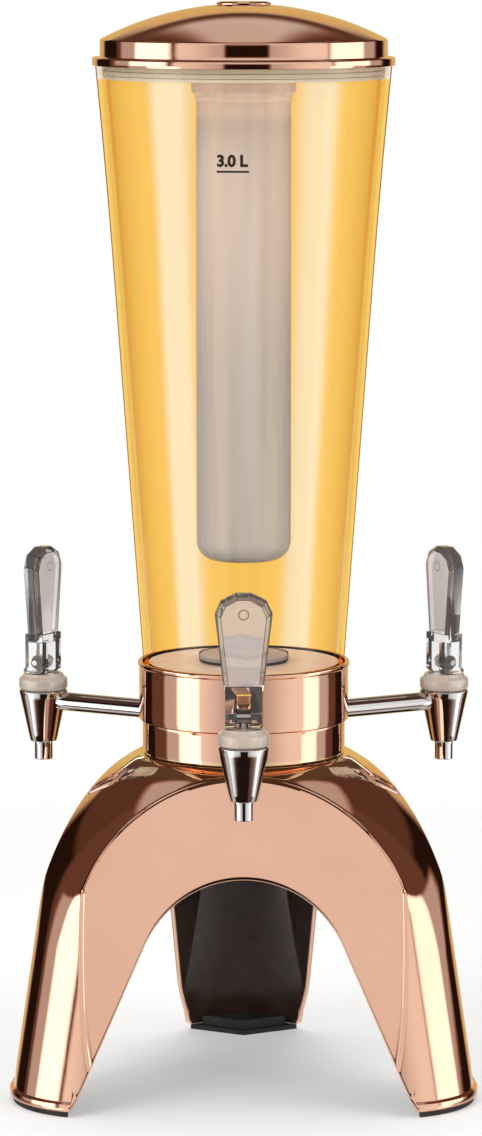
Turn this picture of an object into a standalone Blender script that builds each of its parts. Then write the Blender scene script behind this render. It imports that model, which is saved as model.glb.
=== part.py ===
"""Beer tower dispenser: a tapered clear tank on a three-legged arched base, with three lever taps.

The tower's axis is Z, the floor is Z = 0 and one tap points to -Y. Lengths are in metres.
"""

import math

import bmesh
import bpy
from mathutils import Matrix, Vector

MM = 0.001
GAP = 0.3 * MM
CUT_OVERRUN = 10 * MM
MERGE = 0.001 * MM

# Counts that set how finely round shapes are cut
BIG_STEPS = 48
LEG_STEPS = 32
MID_STEPS = 28
TAP_STEPS = 20
SMALL_STEPS = 16
PIN_STEPS = 12
DOME_STEPS = 8
LID_STEPS = 5
FILLET_STEPS = 2
WALL_STEPS = 3
CAM_STEPS = 3
HEX = 6
COIL_TURNS = 4
COIL_POINTS_PER_TURN = 8

# Places round the tower
TAPS = 3
TAP_AZIMUTHS = [math.tau * number / TAPS - math.pi / 2 for number in range(TAPS)]
LEG_AZIMUTHS = [azimuth + math.pi / TAPS for azimuth in TAP_AZIMUTHS]
SHARP_ANGLE = math.radians(35)

# Base shell
BASE_WALL = 3.0 * MM
PAD_THICKNESS = 2.7 * MM
LEG_RADIUS = 52.0 * MM
LEG_INSIDE_SKIRT = 9.9 * MM
LEG_LEAN = 0.169
PANEL_CLEAR_OF_LEG = 0.96 * MM
PANEL_LEAN = 0.1667
DOME_RADIUS = 125.4 * MM
DOME_TOP_Z = 187.2 * MM
DOME_TOP_RADIUS = 59.3 * MM
DOME_SKIRT_LEAN = math.radians(15)
ARCH_RADIUS = 59.0 * MM
ARCH_CENTRE_Z = 69.2 * MM
FOOT_DEPTH = 30.8 * MM
FOOT_LIP = 2.0 * MM
FOOT_LIP_HEIGHT = 5.0 * MM
PAD_INSET = 1.0 * MM
PAD_PLUG_HEIGHT = 5.0 * MM

# Manifold, its spigot and the nut beneath the base
SPIGOT_RADIUS = 16.0 * MM
SPIGOT_LENGTH = 18.0 * MM
MANIFOLD_RADIUS = 44.0 * MM
CHAMBER_RADIUS = 30.0 * MM
CHAMBER_FLOOR = 8.5 * MM
CHAMBER_ROOF = 6.5 * MM
CLAMP_NUT_CORNER_RADIUS = 26.0 * MM
CLAMP_NUT_HEIGHT = 8.0 * MM

# Collar rings
SHANK_Z = 206.0 * MM
LOWER_RING_RADIUS = 56.3 * MM
UPPER_RING_RADIUS = 58.2 * MM
RING_WALL = 3.8 * MM
COLLAR_TOP_Z = 238.7 * MM
COLLAR_LIP = 0.7 * MM
COLLAR_LIP_HEIGHT = 2.8 * MM
COLLAR_SEAT_THICKNESS = 3.0 * MM
COLLAR_SEAT_HOLE_RADIUS = 30.0 * MM

# Tank, its gasket and its outlet
TANK_BASE_Z = 234.0 * MM
TANK_TOP_Z = 568.2 * MM
TANK_BASE_RADIUS = 55.6 * MM
TANK_TAPER_TOP_RADIUS = 80.0 * MM
TANK_FLARE = 1.5 * MM
TANK_FLARE_START_Z = 450.0 * MM
TANK_WALL = 3.0 * MM
TANK_FLOOR = 4.0 * MM
GASKET_WIDTH = 22.0 * MM
GASKET_THICKNESS = 2.6 * MM
OUTLET_STEM_RADIUS = 17.0 * MM
OUTLET_BORE_RADIUS = 12.5 * MM
OUTLET_FLANGE_RADIUS = 24.6 * MM
OUTLET_FLANGE_HEIGHT = 2.7 * MM
OUTLET_ENGAGEMENT = 5.5 * MM
OUTLET_WASHER_THICKNESS = 1.2 * MM
OUTLET_CHAMFER = 0.8 * MM

# Ice tube
TUBE_RADIUS = 26.2 * MM
TUBE_WALL = 2.0 * MM
TUBE_BOTTOM_Z = 295.0 * MM
TUBE_CORNER = 11.0 * MM
TUBE_NECK_RADIUS = 28.9 * MM
TUBE_NECK_HEIGHT = 7.0 * MM
TUBE_SOCKET_DEPTH = 11.0 * MM

# Lid
LINER_BOTTOM_Z = 561.3 * MM
LINER_PLATE = 2.5 * MM
LINER_RIM = 2.6 * MM
LINER_WALL = 3.0 * MM
LINER_BOSS_RADIUS = 8.0 * MM
LID_FLANGE_RADIUS = 83.2 * MM
LID_FLANGE_HEIGHT = 4.5 * MM
LID_RADIUS = 79.0 * MM
LID_SIDE_TOP_Z = 582.6 * MM
LID_DOME_RADIUS = 170.0 * MM
LID_SKIN = 1.6 * MM
SEAL_HEIGHT = 3.0 * MM
SEAL_DEPTH = 1.6 * MM
SEAL_FROM_BOTTOM = 1.7 * MM
CAP_RADIUS = 15.0 * MM
CAP_EDGE = 0.6 * MM
CAP_RISE = 1.1 * MM
CAP_CHAMFER = 1.6 * MM
CAP_STUB_RADIUS = 4.0 * MM
CAP_STUB_LENGTH = 24.0 * MM

# Shanks that carry the taps
TAP_DISTANCE = 132.0 * MM
SHANK_RADIUS = 5.25 * MM
SHANK_BORE_RADIUS = 3.3 * MM
SHANK_PROUD_IN_CHAMBER = 1.5 * MM
SHANK_SEAT_DEPTH = 3.0 * MM
SHANK_WASHER_RADIUS = 9.0 * MM
SHANK_WASHER_THICKNESS = 1.5 * MM
SHANK_NUT_CORNER_RADIUS = 9.8 * MM
SHANK_NUT_THICKNESS = 4.5 * MM

# Tap body, nozzle and bonnet
BODY_TOP_Z = 212.0 * MM
BODY_BOTTOM_Z = 182.4 * MM
BODY_TOP_RADIUS = 14.0 * MM
BODY_BOTTOM_RADIUS = 7.55 * MM
BODY_CHAMFER = 0.6 * MM
VALVE_BORE_RADIUS = 8.5 * MM
VALVE_SEAT_Z = 194.0 * MM
VALVE_SEAT_DROP = 3.0 * MM
VALVE_PORT_RADIUS = 3.0 * MM
NOZZLE_RADIUS = 5.1 * MM
NOZZLE_LENGTH = 10.3 * MM
NOZZLE_SPIGOT_RADIUS = 4.2 * MM
NOZZLE_SPIGOT_LENGTH = 5.6 * MM
NOZZLE_BORE_RADIUS = 2.9 * MM
BONNET_RADIUS = 13.8 * MM
BONNET_TOP_Z = 221.5 * MM
BONNET_EDGE = 2.8 * MM
BONNET_FOOT = 0.6 * MM
BONNET_PLUG_LENGTH = 4.5 * MM

# Stem, its seal and spring
STEM_RADIUS = 2.4 * MM
STEM_EYE_RADIUS = 4.2 * MM
STEM_EYE_WIDTH = 7.4 * MM
STEM_COLLAR_RADIUS = 5.2 * MM
STEM_COLLAR_THICKNESS = 1.5 * MM
STEM_SOCKET_DEPTH = 2.5 * MM
SEAL_PLUG_RADIUS = 7.2 * MM
SEAL_PLUG_FACE_RADIUS = 4.0 * MM
SEAL_PLUG_SIDE = 2.8 * MM
SPRING_WIRE_RADIUS = 0.45 * MM
SPRING_COIL_RADIUS = 4.2 * MM

# Handle and its pin
PIN_Z = 228.0 * MM
PIN_RADIUS = 1.6 * MM
PIN_RECESS = 0.4 * MM
CAM_RISE_PER_RADIAN = 3.5 * MM
CAM_SWING = math.radians(30)
NECK_WIDTH = 19.6 * MM
NECK_THICKNESS = 11.8 * MM
NECK_TOP_Z = 241.3 * MM
NECK_HEEL_CHAMFER = 1.8 * MM
CAM_TOE_SIDE = 1.2 * MM
SLOT_WIDTH = 8.1 * MM
SLOT_TOP_Z = 239.6 * MM
BLADE_THICKNESS = 9.9 * MM
BLADE_RIM_THICKNESS = 6.0 * MM
BLADE_BORDER = 3.2 * MM
BLADE_FOOT_HALF_WIDTH = 10.4 * MM
BLADE_SHOULDER_HALF_WIDTH = 15.35 * MM
BLADE_SHOULDER_Z = 283.2 * MM
BLADE_CORNER_HALF_WIDTH = 12.2 * MM
BLADE_CORNER_Z = 290.0 * MM
BLADE_TOP_HALF_WIDTH = 4.05 * MM
BLADE_TOP_Z = 294.0 * MM

# Sizes that follow from those above
DOME_CENTRE_Z = DOME_TOP_Z - math.sqrt(DOME_RADIUS**2 - DOME_TOP_RADIUS**2)
SKIRT_TOP_Z = DOME_CENTRE_Z + DOME_RADIUS * math.sin(DOME_SKIRT_LEAN)
SKIRT_TOP_RADIUS = DOME_RADIUS * math.cos(DOME_SKIRT_LEAN)
SKIRT_RADIUS_AT_FLOOR = SKIRT_TOP_RADIUS + SKIRT_TOP_Z * math.tan(DOME_SKIRT_LEAN)
LEG_CENTRE_AT_FLOOR = SKIRT_RADIUS_AT_FLOOR - LEG_INSIDE_SKIRT - LEG_RADIUS
LEG_SIDE_AT_FLOOR = LEG_CENTRE_AT_FLOOR * math.cos(math.pi / TAPS) + LEG_RADIUS
PANEL_AT_FLOOR = LEG_SIDE_AT_FLOOR + PANEL_CLEAR_OF_LEG
FOOT_BACK = LEG_CENTRE_AT_FLOOR + LEG_RADIUS - FOOT_DEPTH
ARCH_HALF_WIDTH_AT_FLOOR = FOOT_BACK * math.sin(math.pi / TAPS)
SHELL_BOTTOM_Z = PAD_THICKNESS + GAP
MANIFOLD_BOTTOM_Z = DOME_TOP_Z + GAP
COLLAR_SEAT_TOP_Z = TANK_BASE_Z - GASKET_THICKNESS - 2 * GAP
MANIFOLD_TOP_Z = COLLAR_SEAT_TOP_Z - COLLAR_SEAT_THICKNESS - GAP
PORT_RADIUS = SHANK_RADIUS + GAP
FLANGE_UNDERSIDE_Z = TANK_TOP_Z + GAP
LID_APEX_Z = LID_SIDE_TOP_Z + LID_DOME_RADIUS - math.sqrt(LID_DOME_RADIUS**2 - LID_RADIUS**2)
STEM_BORE_RADIUS = STEM_RADIUS + GAP


def clear_scene():
    """Removes every object that the scene starts with."""
    for obj in list(bpy.data.objects):
        bpy.data.objects.remove(obj, do_unlink=True)


def make_surface(name, colour, roughness, metallic, transmission=0.0):
    """A Principled material."""
    surface = bpy.data.materials.new(name)
    surface.use_nodes = True
    shader = surface.node_tree.nodes["Principled BSDF"]
    shader.inputs["Base Color"].default_value = (*colour, 1.0)
    shader.inputs["Roughness"].default_value = roughness
    shader.inputs["Metallic"].default_value = metallic
    shader.inputs["Transmission Weight"].default_value = transmission
    surface.diffuse_color = (*colour, 1.0)
    return surface


def make_surfaces():
    """Every finish on the tower, by the name that its pieces ask for."""
    return {
        "rose_gold": make_surface("rose_gold", (0.74, 0.41, 0.28), 0.12, 1.0),
        "chrome": make_surface("chrome", (0.78, 0.76, 0.74), 0.10, 1.0),
        "steel": make_surface("steel", (0.60, 0.59, 0.57), 0.30, 1.0),
        "clear": make_surface("clear", (0.95, 0.94, 0.92), 0.04, 0.0, 1.0),
        "frosted": make_surface("frosted", (0.62, 0.57, 0.55), 0.35, 0.0, 0.4),
        "white_plastic": make_surface("white_plastic", (0.86, 0.85, 0.82), 0.40, 0.0),
        "black_rubber": make_surface("black_rubber", (0.02, 0.02, 0.02), 0.80, 0.0),
        "silicone": make_surface("silicone", (0.80, 0.79, 0.76), 0.55, 0.0),
    }


def add_object(name, shape, surface=None, parent=None, location=(0, 0, 0)):
    """Turns a bmesh into an object; without a surface it is a helper that only cuts or joins."""
    mesh = bpy.data.meshes.new(name)
    shape.to_mesh(mesh)
    shape.free()
    mesh.shade_smooth()
    mesh.set_sharp_from_angle(angle=SHARP_ANGLE)
    obj = bpy.data.objects.new(name, mesh)
    bpy.context.scene.collection.objects.link(obj)
    obj.location = location
    obj.parent = parent
    if surface:
        mesh.materials.append(surface)
    else:
        obj.hide_render = True
        obj.display_type = "WIRE"
    return obj


def add_frame(name, azimuth):
    """An empty on the tower's axis whose +X points out along the azimuth."""
    empty = bpy.data.objects.new(name, None)
    empty.rotation_euler = (0, 0, azimuth)
    bpy.context.scene.collection.objects.link(empty)
    return empty


def combine(obj, operation, *others):
    """Adds one exact Boolean modifier for each of the other objects."""
    for other in others:
        modifier = obj.modifiers.new(f"{operation.lower()} {other.name}", "BOOLEAN")
        modifier.operation = operation
        modifier.solver = "EXACT"
        modifier.object = other


def turned_shape(profile, steps):
    """A profile of (radius, height) points swept round Z; it closes unless both ends lie on the axis."""
    shape = bmesh.new()
    points = [shape.verts.new((radius, 0, height)) for radius, height in profile]
    for first, second in zip(points, points[1:]):
        shape.edges.new((first, second))
    if profile[0][0] or profile[-1][0]:
        shape.edges.new((points[-1], points[0]))
    bmesh.ops.spin(
        shape,
        geom=shape.verts[:] + shape.edges[:],
        cent=(0, 0, 0),
        axis=(0, 0, 1),
        angle=math.tau,
        steps=steps,
        use_merge=True,
    )
    bmesh.ops.remove_doubles(shape, verts=shape.verts, dist=MERGE)
    bmesh.ops.recalc_face_normals(shape, faces=shape.faces)
    return shape


def turned(name, profile, surface, steps=BIG_STEPS, parent=None, location=(0, 0, 0)):
    """An object turned about its own Z axis."""
    return add_object(name, turned_shape(profile, steps), surface, parent, location)


def ring_profile(inner, outer, bottom, top):
    """A square-edged ring."""
    return [(inner, bottom), (outer, bottom), (outer, top), (inner, top)]


def rod_profile(radius, bottom, top):
    """A square-ended rod."""
    return [(0, bottom), (radius, bottom), (radius, top), (0, top)]


def arc(centre, radius, start, end, steps):
    """Points on an arc about a centre, from one angle to another."""
    angles = [start + (end - start) * step / steps for step in range(steps + 1)]
    return [(centre[0] + radius * math.cos(a), centre[1] + radius * math.sin(a)) for a in angles]


def lay_along_x(shape, start, height):
    """Turns a shape from Z to +X, so that its zero comes to start on X at this height."""
    turn = Matrix.Translation((start, 0, height)) @ Matrix.Rotation(math.pi / 2, 4, "Y")
    bmesh.ops.transform(shape, matrix=turn, verts=shape.verts)
    return shape


def extruded(name, outline, low, high, surface=None, parent=None, location=(0, 0, 0), plane="XY"):
    """A flat outline drawn in the plane XY and raised along Z, or drawn in XZ and carried along Y."""
    place = {"XY": lambda a, b, c: (a, b, c), "XZ": lambda a, b, c: (a, c, b)}[plane]
    shape = bmesh.new()
    face = shape.faces.new([shape.verts.new(place(a, b, low)) for a, b in outline])
    swept = bmesh.ops.extrude_face_region(shape, geom=[face])
    moved = [item for item in swept["geom"] if isinstance(item, bmesh.types.BMVert)]
    bmesh.ops.translate(shape, vec=place(0, 0, high - low), verts=moved)
    bmesh.ops.recalc_face_normals(shape, faces=shape.faces)
    return add_object(name, shape, surface, parent, location)


def leg_centre(azimuth, height):
    """The centre of a leg's round section at a height."""
    distance = LEG_CENTRE_AT_FLOOR - LEG_LEAN * height
    return Vector((distance * math.cos(azimuth), distance * math.sin(azimuth), height))


def lobed_block(name, inset, bottom, top):
    """The base before its dome: a rounded triangle about three leaning legs, with three flat sides.

    It is drawn in by the inset all round, and outwards where the inset is negative.
    """
    shape = bmesh.new()
    radius = LEG_RADIUS - inset
    for azimuth in LEG_AZIMUTHS:
        for height in (bottom, top):
            for step in range(LEG_STEPS):
                angle = azimuth + math.tau * step / LEG_STEPS
                offset = Vector((radius * math.cos(angle), radius * math.sin(angle), 0))
                shape.verts.new(leg_centre(azimuth, height) + offset)
    hull = bmesh.ops.convex_hull(shape, input=shape.verts)
    inside = [item for item in hull["geom_interior"] if isinstance(item, bmesh.types.BMVert)]
    bmesh.ops.delete(shape, geom=inside, context="VERTS")
    for azimuth in TAP_AZIMUTHS:
        outward = Vector((math.cos(azimuth), math.sin(azimuth), 0))
        normal = (outward + Vector((0, 0, PANEL_LEAN))).normalized()
        cut = bmesh.ops.bisect_plane(
            shape,
            geom=shape.verts[:] + shape.edges[:] + shape.faces[:],
            plane_co=outward * PANEL_AT_FLOOR - normal * inset,
            plane_no=normal,
            clear_outer=True,
        )
        rim = [item for item in cut["geom_cut"] if isinstance(item, bmesh.types.BMEdge)]
        bmesh.ops.contextual_create(shape, geom=rim)
    bmesh.ops.recalc_face_normals(shape, faces=shape.faces)
    return add_object(name, shape)


def dome_profile(inset, bottom, top):
    """A sphere's crown, cut flat at the top, whose side runs on straight at the skirt's lean."""
    radius = DOME_RADIUS - inset
    crown = math.asin((top - DOME_CENTRE_Z) / radius)
    points = arc((0, DOME_CENTRE_Z), radius, DOME_SKIRT_LEAN, crown, DOME_STEPS)
    reach = points[0][0] + (points[0][1] - bottom) * math.tan(DOME_SKIRT_LEAN)
    return [(0, bottom), (reach, bottom), *points, (0, top)]


def arch_outline():
    """The arch opening: a round head whose straight sides leave it as tangents and widen to the floor."""
    floor_point_distance = math.hypot(ARCH_HALF_WIDTH_AT_FLOOR, ARCH_CENTRE_Z)
    slope = math.atan2(ARCH_CENTRE_Z, ARCH_HALF_WIDTH_AT_FLOOR)
    tangent = math.acos(ARCH_RADIUS / floor_point_distance) - slope
    head = arc((0, ARCH_CENTRE_Z), ARCH_RADIUS, tangent, math.pi - tangent, LEG_STEPS // 2)
    widening = math.tan(tangent) * CUT_OVERRUN
    foot = ARCH_HALF_WIDTH_AT_FLOOR + widening
    return [(foot, -CUT_OVERRUN), *head, (-foot, -CUT_OVERRUN)]


def foot_outline(inset, height):
    """A foot seen from above, on +X: the leg's round side and the V that two arches leave behind it."""
    radius = LEG_RADIUS - inset
    centre = LEG_CENTRE_AT_FLOOR - LEG_LEAN * height
    arch_side = ARCH_HALF_WIDTH_AT_FLOOR + inset
    turn = math.pi / 2 - math.pi / TAPS
    across = arch_side - centre * math.cos(turn)
    limit = math.acos(across / radius) - turn
    round_side = arc((centre, 0), radius, -limit, limit, LEG_STEPS // 2)
    return [*round_side, (arch_side / math.cos(turn), 0)]


def build_base(surfaces):
    """The plated shell, open beneath, and a rubber pad under each foot."""
    shell = lobed_block("base_shell", 0, SHELL_BOTTOM_Z, DOME_TOP_Z + CUT_OVERRUN)
    shell.hide_render = False
    shell.display_type = "TEXTURED"
    shell.data.materials.append(surfaces["rose_gold"])
    below = -CUT_OVERRUN
    crown = turned("dome_form", dome_profile(0, below, DOME_TOP_Z), None)
    lip = lobed_block("lip_form", -FOOT_LIP, SHELL_BOTTOM_Z, SHELL_BOTTOM_Z + FOOT_LIP_HEIGHT)
    hollow = lobed_block("hollow_form", BASE_WALL, below, DOME_TOP_Z)
    hollow_dome = dome_profile(BASE_WALL, 2 * below, DOME_TOP_Z - BASE_WALL)
    combine(hollow, "INTERSECT", turned("hollow_dome_form", hollow_dome, None))
    combine(shell, "INTERSECT", crown)
    combine(shell, "UNION", lip)
    combine(shell, "DIFFERENCE", hollow)
    for number, azimuth in enumerate(TAP_AZIMUTHS, 1):
        reach = PANEL_AT_FLOOR + CUT_OVERRUN
        opening = extruded(f"arch_form_{number}", arch_outline(), -reach, 0, plane="XZ")
        opening.rotation_euler = (0, 0, azimuth + math.pi / 2)
        combine(shell, "DIFFERENCE", opening)
    neck = rod_profile(SPIGOT_RADIUS + GAP, DOME_TOP_Z - BASE_WALL - CUT_OVERRUN, DOME_TOP_Z + CUT_OVERRUN)
    combine(shell, "DIFFERENCE", turned("neck_form", neck, None))
    rubber = surfaces["black_rubber"]
    sole = foot_outline(PAD_INSET, 0)
    plug_top = SHELL_BOTTOM_Z + PAD_PLUG_HEIGHT
    plug_sole = foot_outline(BASE_WALL + PAD_INSET, plug_top)
    for number, azimuth in enumerate(LEG_AZIMUTHS, 1):
        frame = add_frame(f"foot_frame_{number}", azimuth)
        pad = extruded(f"foot_pad_{number}", sole, 0, PAD_THICKNESS, rubber, frame)
        plug = extruded(f"plug_form_{number}", plug_sole, PAD_INSET, plug_top, None, frame)
        combine(pad, "UNION", plug)


def shank_cutter(name, frame, radius, start, end):
    """A rod along a shank's line."""
    shape = turned_shape(rod_profile(radius, 0, end - start), SMALL_STEPS)
    return add_object(name, lay_along_x(shape, start, SHANK_Z), None, frame)


def build_manifold(surfaces, frames):
    """The chamber under the tank, held to the base by its spigot and a nut."""
    chamber_bottom = MANIFOLD_BOTTOM_Z + CHAMBER_FLOOR
    chamber_top = MANIFOLD_TOP_Z - CHAMBER_ROOF
    mouth = OUTLET_STEM_RADIUS + GAP
    profile = [
        (0, MANIFOLD_BOTTOM_Z - SPIGOT_LENGTH),
        (SPIGOT_RADIUS, MANIFOLD_BOTTOM_Z - SPIGOT_LENGTH),
        (SPIGOT_RADIUS, MANIFOLD_BOTTOM_Z),
        (MANIFOLD_RADIUS, MANIFOLD_BOTTOM_Z),
        (MANIFOLD_RADIUS, MANIFOLD_TOP_Z),
        (mouth, MANIFOLD_TOP_Z),
        (mouth, chamber_top),
        (CHAMBER_RADIUS, chamber_top),
        (CHAMBER_RADIUS, chamber_bottom),
        (0, chamber_bottom),
    ]
    manifold = turned("manifold", profile, surfaces["steel"], MID_STEPS)
    start = CHAMBER_RADIUS - CUT_OVERRUN
    for number, frame in enumerate(frames, 1):
        port = shank_cutter(f"port_form_{number}", frame, PORT_RADIUS, start, MANIFOLD_RADIUS + CUT_OVERRUN)
        combine(manifold, "DIFFERENCE", port)
    top = DOME_TOP_Z - BASE_WALL - GAP
    bottom = top - CLAMP_NUT_HEIGHT
    nut = turned("clamp_nut", rod_profile(CLAMP_NUT_CORNER_RADIUS, bottom, top), surfaces["steel"], HEX)
    thread = rod_profile(SPIGOT_RADIUS + GAP, bottom - CUT_OVERRUN, top + CUT_OVERRUN)
    combine(nut, "DIFFERENCE", turned("clamp_nut_bore", thread, None, MID_STEPS))


def tank_radius(height):
    """The tank's outer radius: a straight taper with a slight flare towards the rim."""
    along = (height - TANK_BASE_Z) / (TANK_TOP_Z - TANK_BASE_Z)
    flare = max(0.0, (height - TANK_FLARE_START_Z) / (TANK_TOP_Z - TANK_FLARE_START_Z))
    return TANK_BASE_RADIUS + along * (TANK_TAPER_TOP_RADIUS - TANK_BASE_RADIUS) + TANK_FLARE * flare**2


def build_collar(surfaces, frames):
    """Two rings that part at the shanks' height; the upper one holds the tank's foot."""
    lower_inside = LOWER_RING_RADIUS - RING_WALL
    lower = ring_profile(lower_inside, LOWER_RING_RADIUS, MANIFOLD_BOTTOM_Z, SHANK_Z - GAP / 2)
    lower_ring = turned("collar_lower_ring", lower, surfaces["rose_gold"])
    seat_bottom = COLLAR_SEAT_TOP_Z - COLLAR_SEAT_THICKNESS
    inside = UPPER_RING_RADIUS - RING_WALL
    socket = tank_radius(COLLAR_TOP_Z) + GAP
    lip_bottom = COLLAR_TOP_Z - COLLAR_LIP_HEIGHT
    upper = [
        (UPPER_RING_RADIUS, SHANK_Z + GAP / 2),
        (UPPER_RING_RADIUS, lip_bottom - COLLAR_LIP),
        (UPPER_RING_RADIUS + COLLAR_LIP, lip_bottom),
        (UPPER_RING_RADIUS + COLLAR_LIP, COLLAR_TOP_Z),
        (socket, COLLAR_TOP_Z),
        (socket, COLLAR_SEAT_TOP_Z),
        (COLLAR_SEAT_HOLE_RADIUS, COLLAR_SEAT_TOP_Z),
        (COLLAR_SEAT_HOLE_RADIUS, seat_bottom),
        (inside, seat_bottom),
        (inside, SHANK_Z + GAP / 2),
    ]
    upper_ring = turned("collar_upper_ring", upper, surfaces["rose_gold"])
    start = MANIFOLD_RADIUS
    end = UPPER_RING_RADIUS + CUT_OVERRUN
    for number, frame in enumerate(frames, 1):
        notch = shank_cutter(f"notch_form_{number}", frame, PORT_RADIUS, start, end)
        combine(lower_ring, "DIFFERENCE", notch)
        combine(upper_ring, "DIFFERENCE", notch)
    gasket_outer = COLLAR_SEAT_HOLE_RADIUS + GASKET_WIDTH
    gasket = ring_profile(COLLAR_SEAT_HOLE_RADIUS, gasket_outer, COLLAR_SEAT_TOP_Z + GAP, TANK_BASE_Z - GAP)
    turned("tank_gasket", gasket, surfaces["black_rubber"], MID_STEPS)


def build_tank(surfaces):
    """The clear tank, with the flanged outlet bolt that clamps its floor to the manifold."""
    floor_top = TANK_BASE_Z + TANK_FLOOR
    mouth = OUTLET_STEM_RADIUS + GAP
    flare_height = TANK_TOP_Z - TANK_FLARE_START_Z
    rise = [TANK_FLARE_START_Z + flare_height * step / WALL_STEPS for step in range(WALL_STEPS + 1)]
    outside = [(tank_radius(z), z) for z in [TANK_BASE_Z, *rise]]
    inside = [(tank_radius(z) - TANK_WALL, z) for z in [floor_top, *rise]]
    wall = [(mouth, TANK_BASE_Z), *outside, *reversed(inside), (mouth, floor_top)]
    turned("tank", wall, surfaces["clear"])
    washer_bottom = floor_top + GAP
    washer_top = washer_bottom + OUTLET_WASHER_THICKNESS
    washer = ring_profile(mouth, OUTLET_FLANGE_RADIUS, washer_bottom, washer_top)
    turned("outlet_washer", washer, surfaces["black_rubber"], MID_STEPS)
    flange_bottom = washer_top + GAP
    flange_top = flange_bottom + OUTLET_FLANGE_HEIGHT
    stem_bottom = MANIFOLD_TOP_Z - OUTLET_ENGAGEMENT
    bolt = [
        (OUTLET_BORE_RADIUS, stem_bottom),
        (OUTLET_STEM_RADIUS, stem_bottom),
        (OUTLET_STEM_RADIUS, flange_bottom),
        (OUTLET_FLANGE_RADIUS, flange_bottom),
        (OUTLET_FLANGE_RADIUS, flange_top - OUTLET_CHAMFER),
        (OUTLET_FLANGE_RADIUS - OUTLET_CHAMFER, flange_top),
        (OUTLET_BORE_RADIUS, flange_top),
    ]
    turned("outlet_bolt", bolt, surfaces["steel"], MID_STEPS)


def build_ice_tube(surfaces):
    """The closed tube for ice, whose widened neck screws on a stub under the lid."""
    top = LINER_BOTTOM_Z - GAP
    socket = TUBE_NECK_RADIUS - TUBE_WALL - GAP
    inside = TUBE_RADIUS - TUBE_WALL
    chamfer = TUBE_NECK_RADIUS - TUBE_RADIUS
    corner_centre = (TUBE_RADIUS - TUBE_CORNER, TUBE_BOTTOM_Z + TUBE_CORNER)
    outer_corner = arc(corner_centre, TUBE_CORNER, -math.pi / 2, 0, CAM_STEPS)
    inner_corner = arc(corner_centre, TUBE_CORNER - TUBE_WALL, -math.pi / 2, 0, CAM_STEPS)
    profile = [
        (0, TUBE_BOTTOM_Z),
        *outer_corner,
        (TUBE_RADIUS, top - TUBE_NECK_HEIGHT - chamfer),
        (TUBE_NECK_RADIUS, top - TUBE_NECK_HEIGHT),
        (TUBE_NECK_RADIUS, top),
        (socket, top),
        (socket, top - TUBE_SOCKET_DEPTH),
        (inside, top - TUBE_SOCKET_DEPTH),
        *reversed(inner_corner),
        (0, TUBE_BOTTOM_Z + TUBE_WALL),
    ]
    turned("ice_tube", profile, surfaces["frosted"], MID_STEPS)


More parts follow.
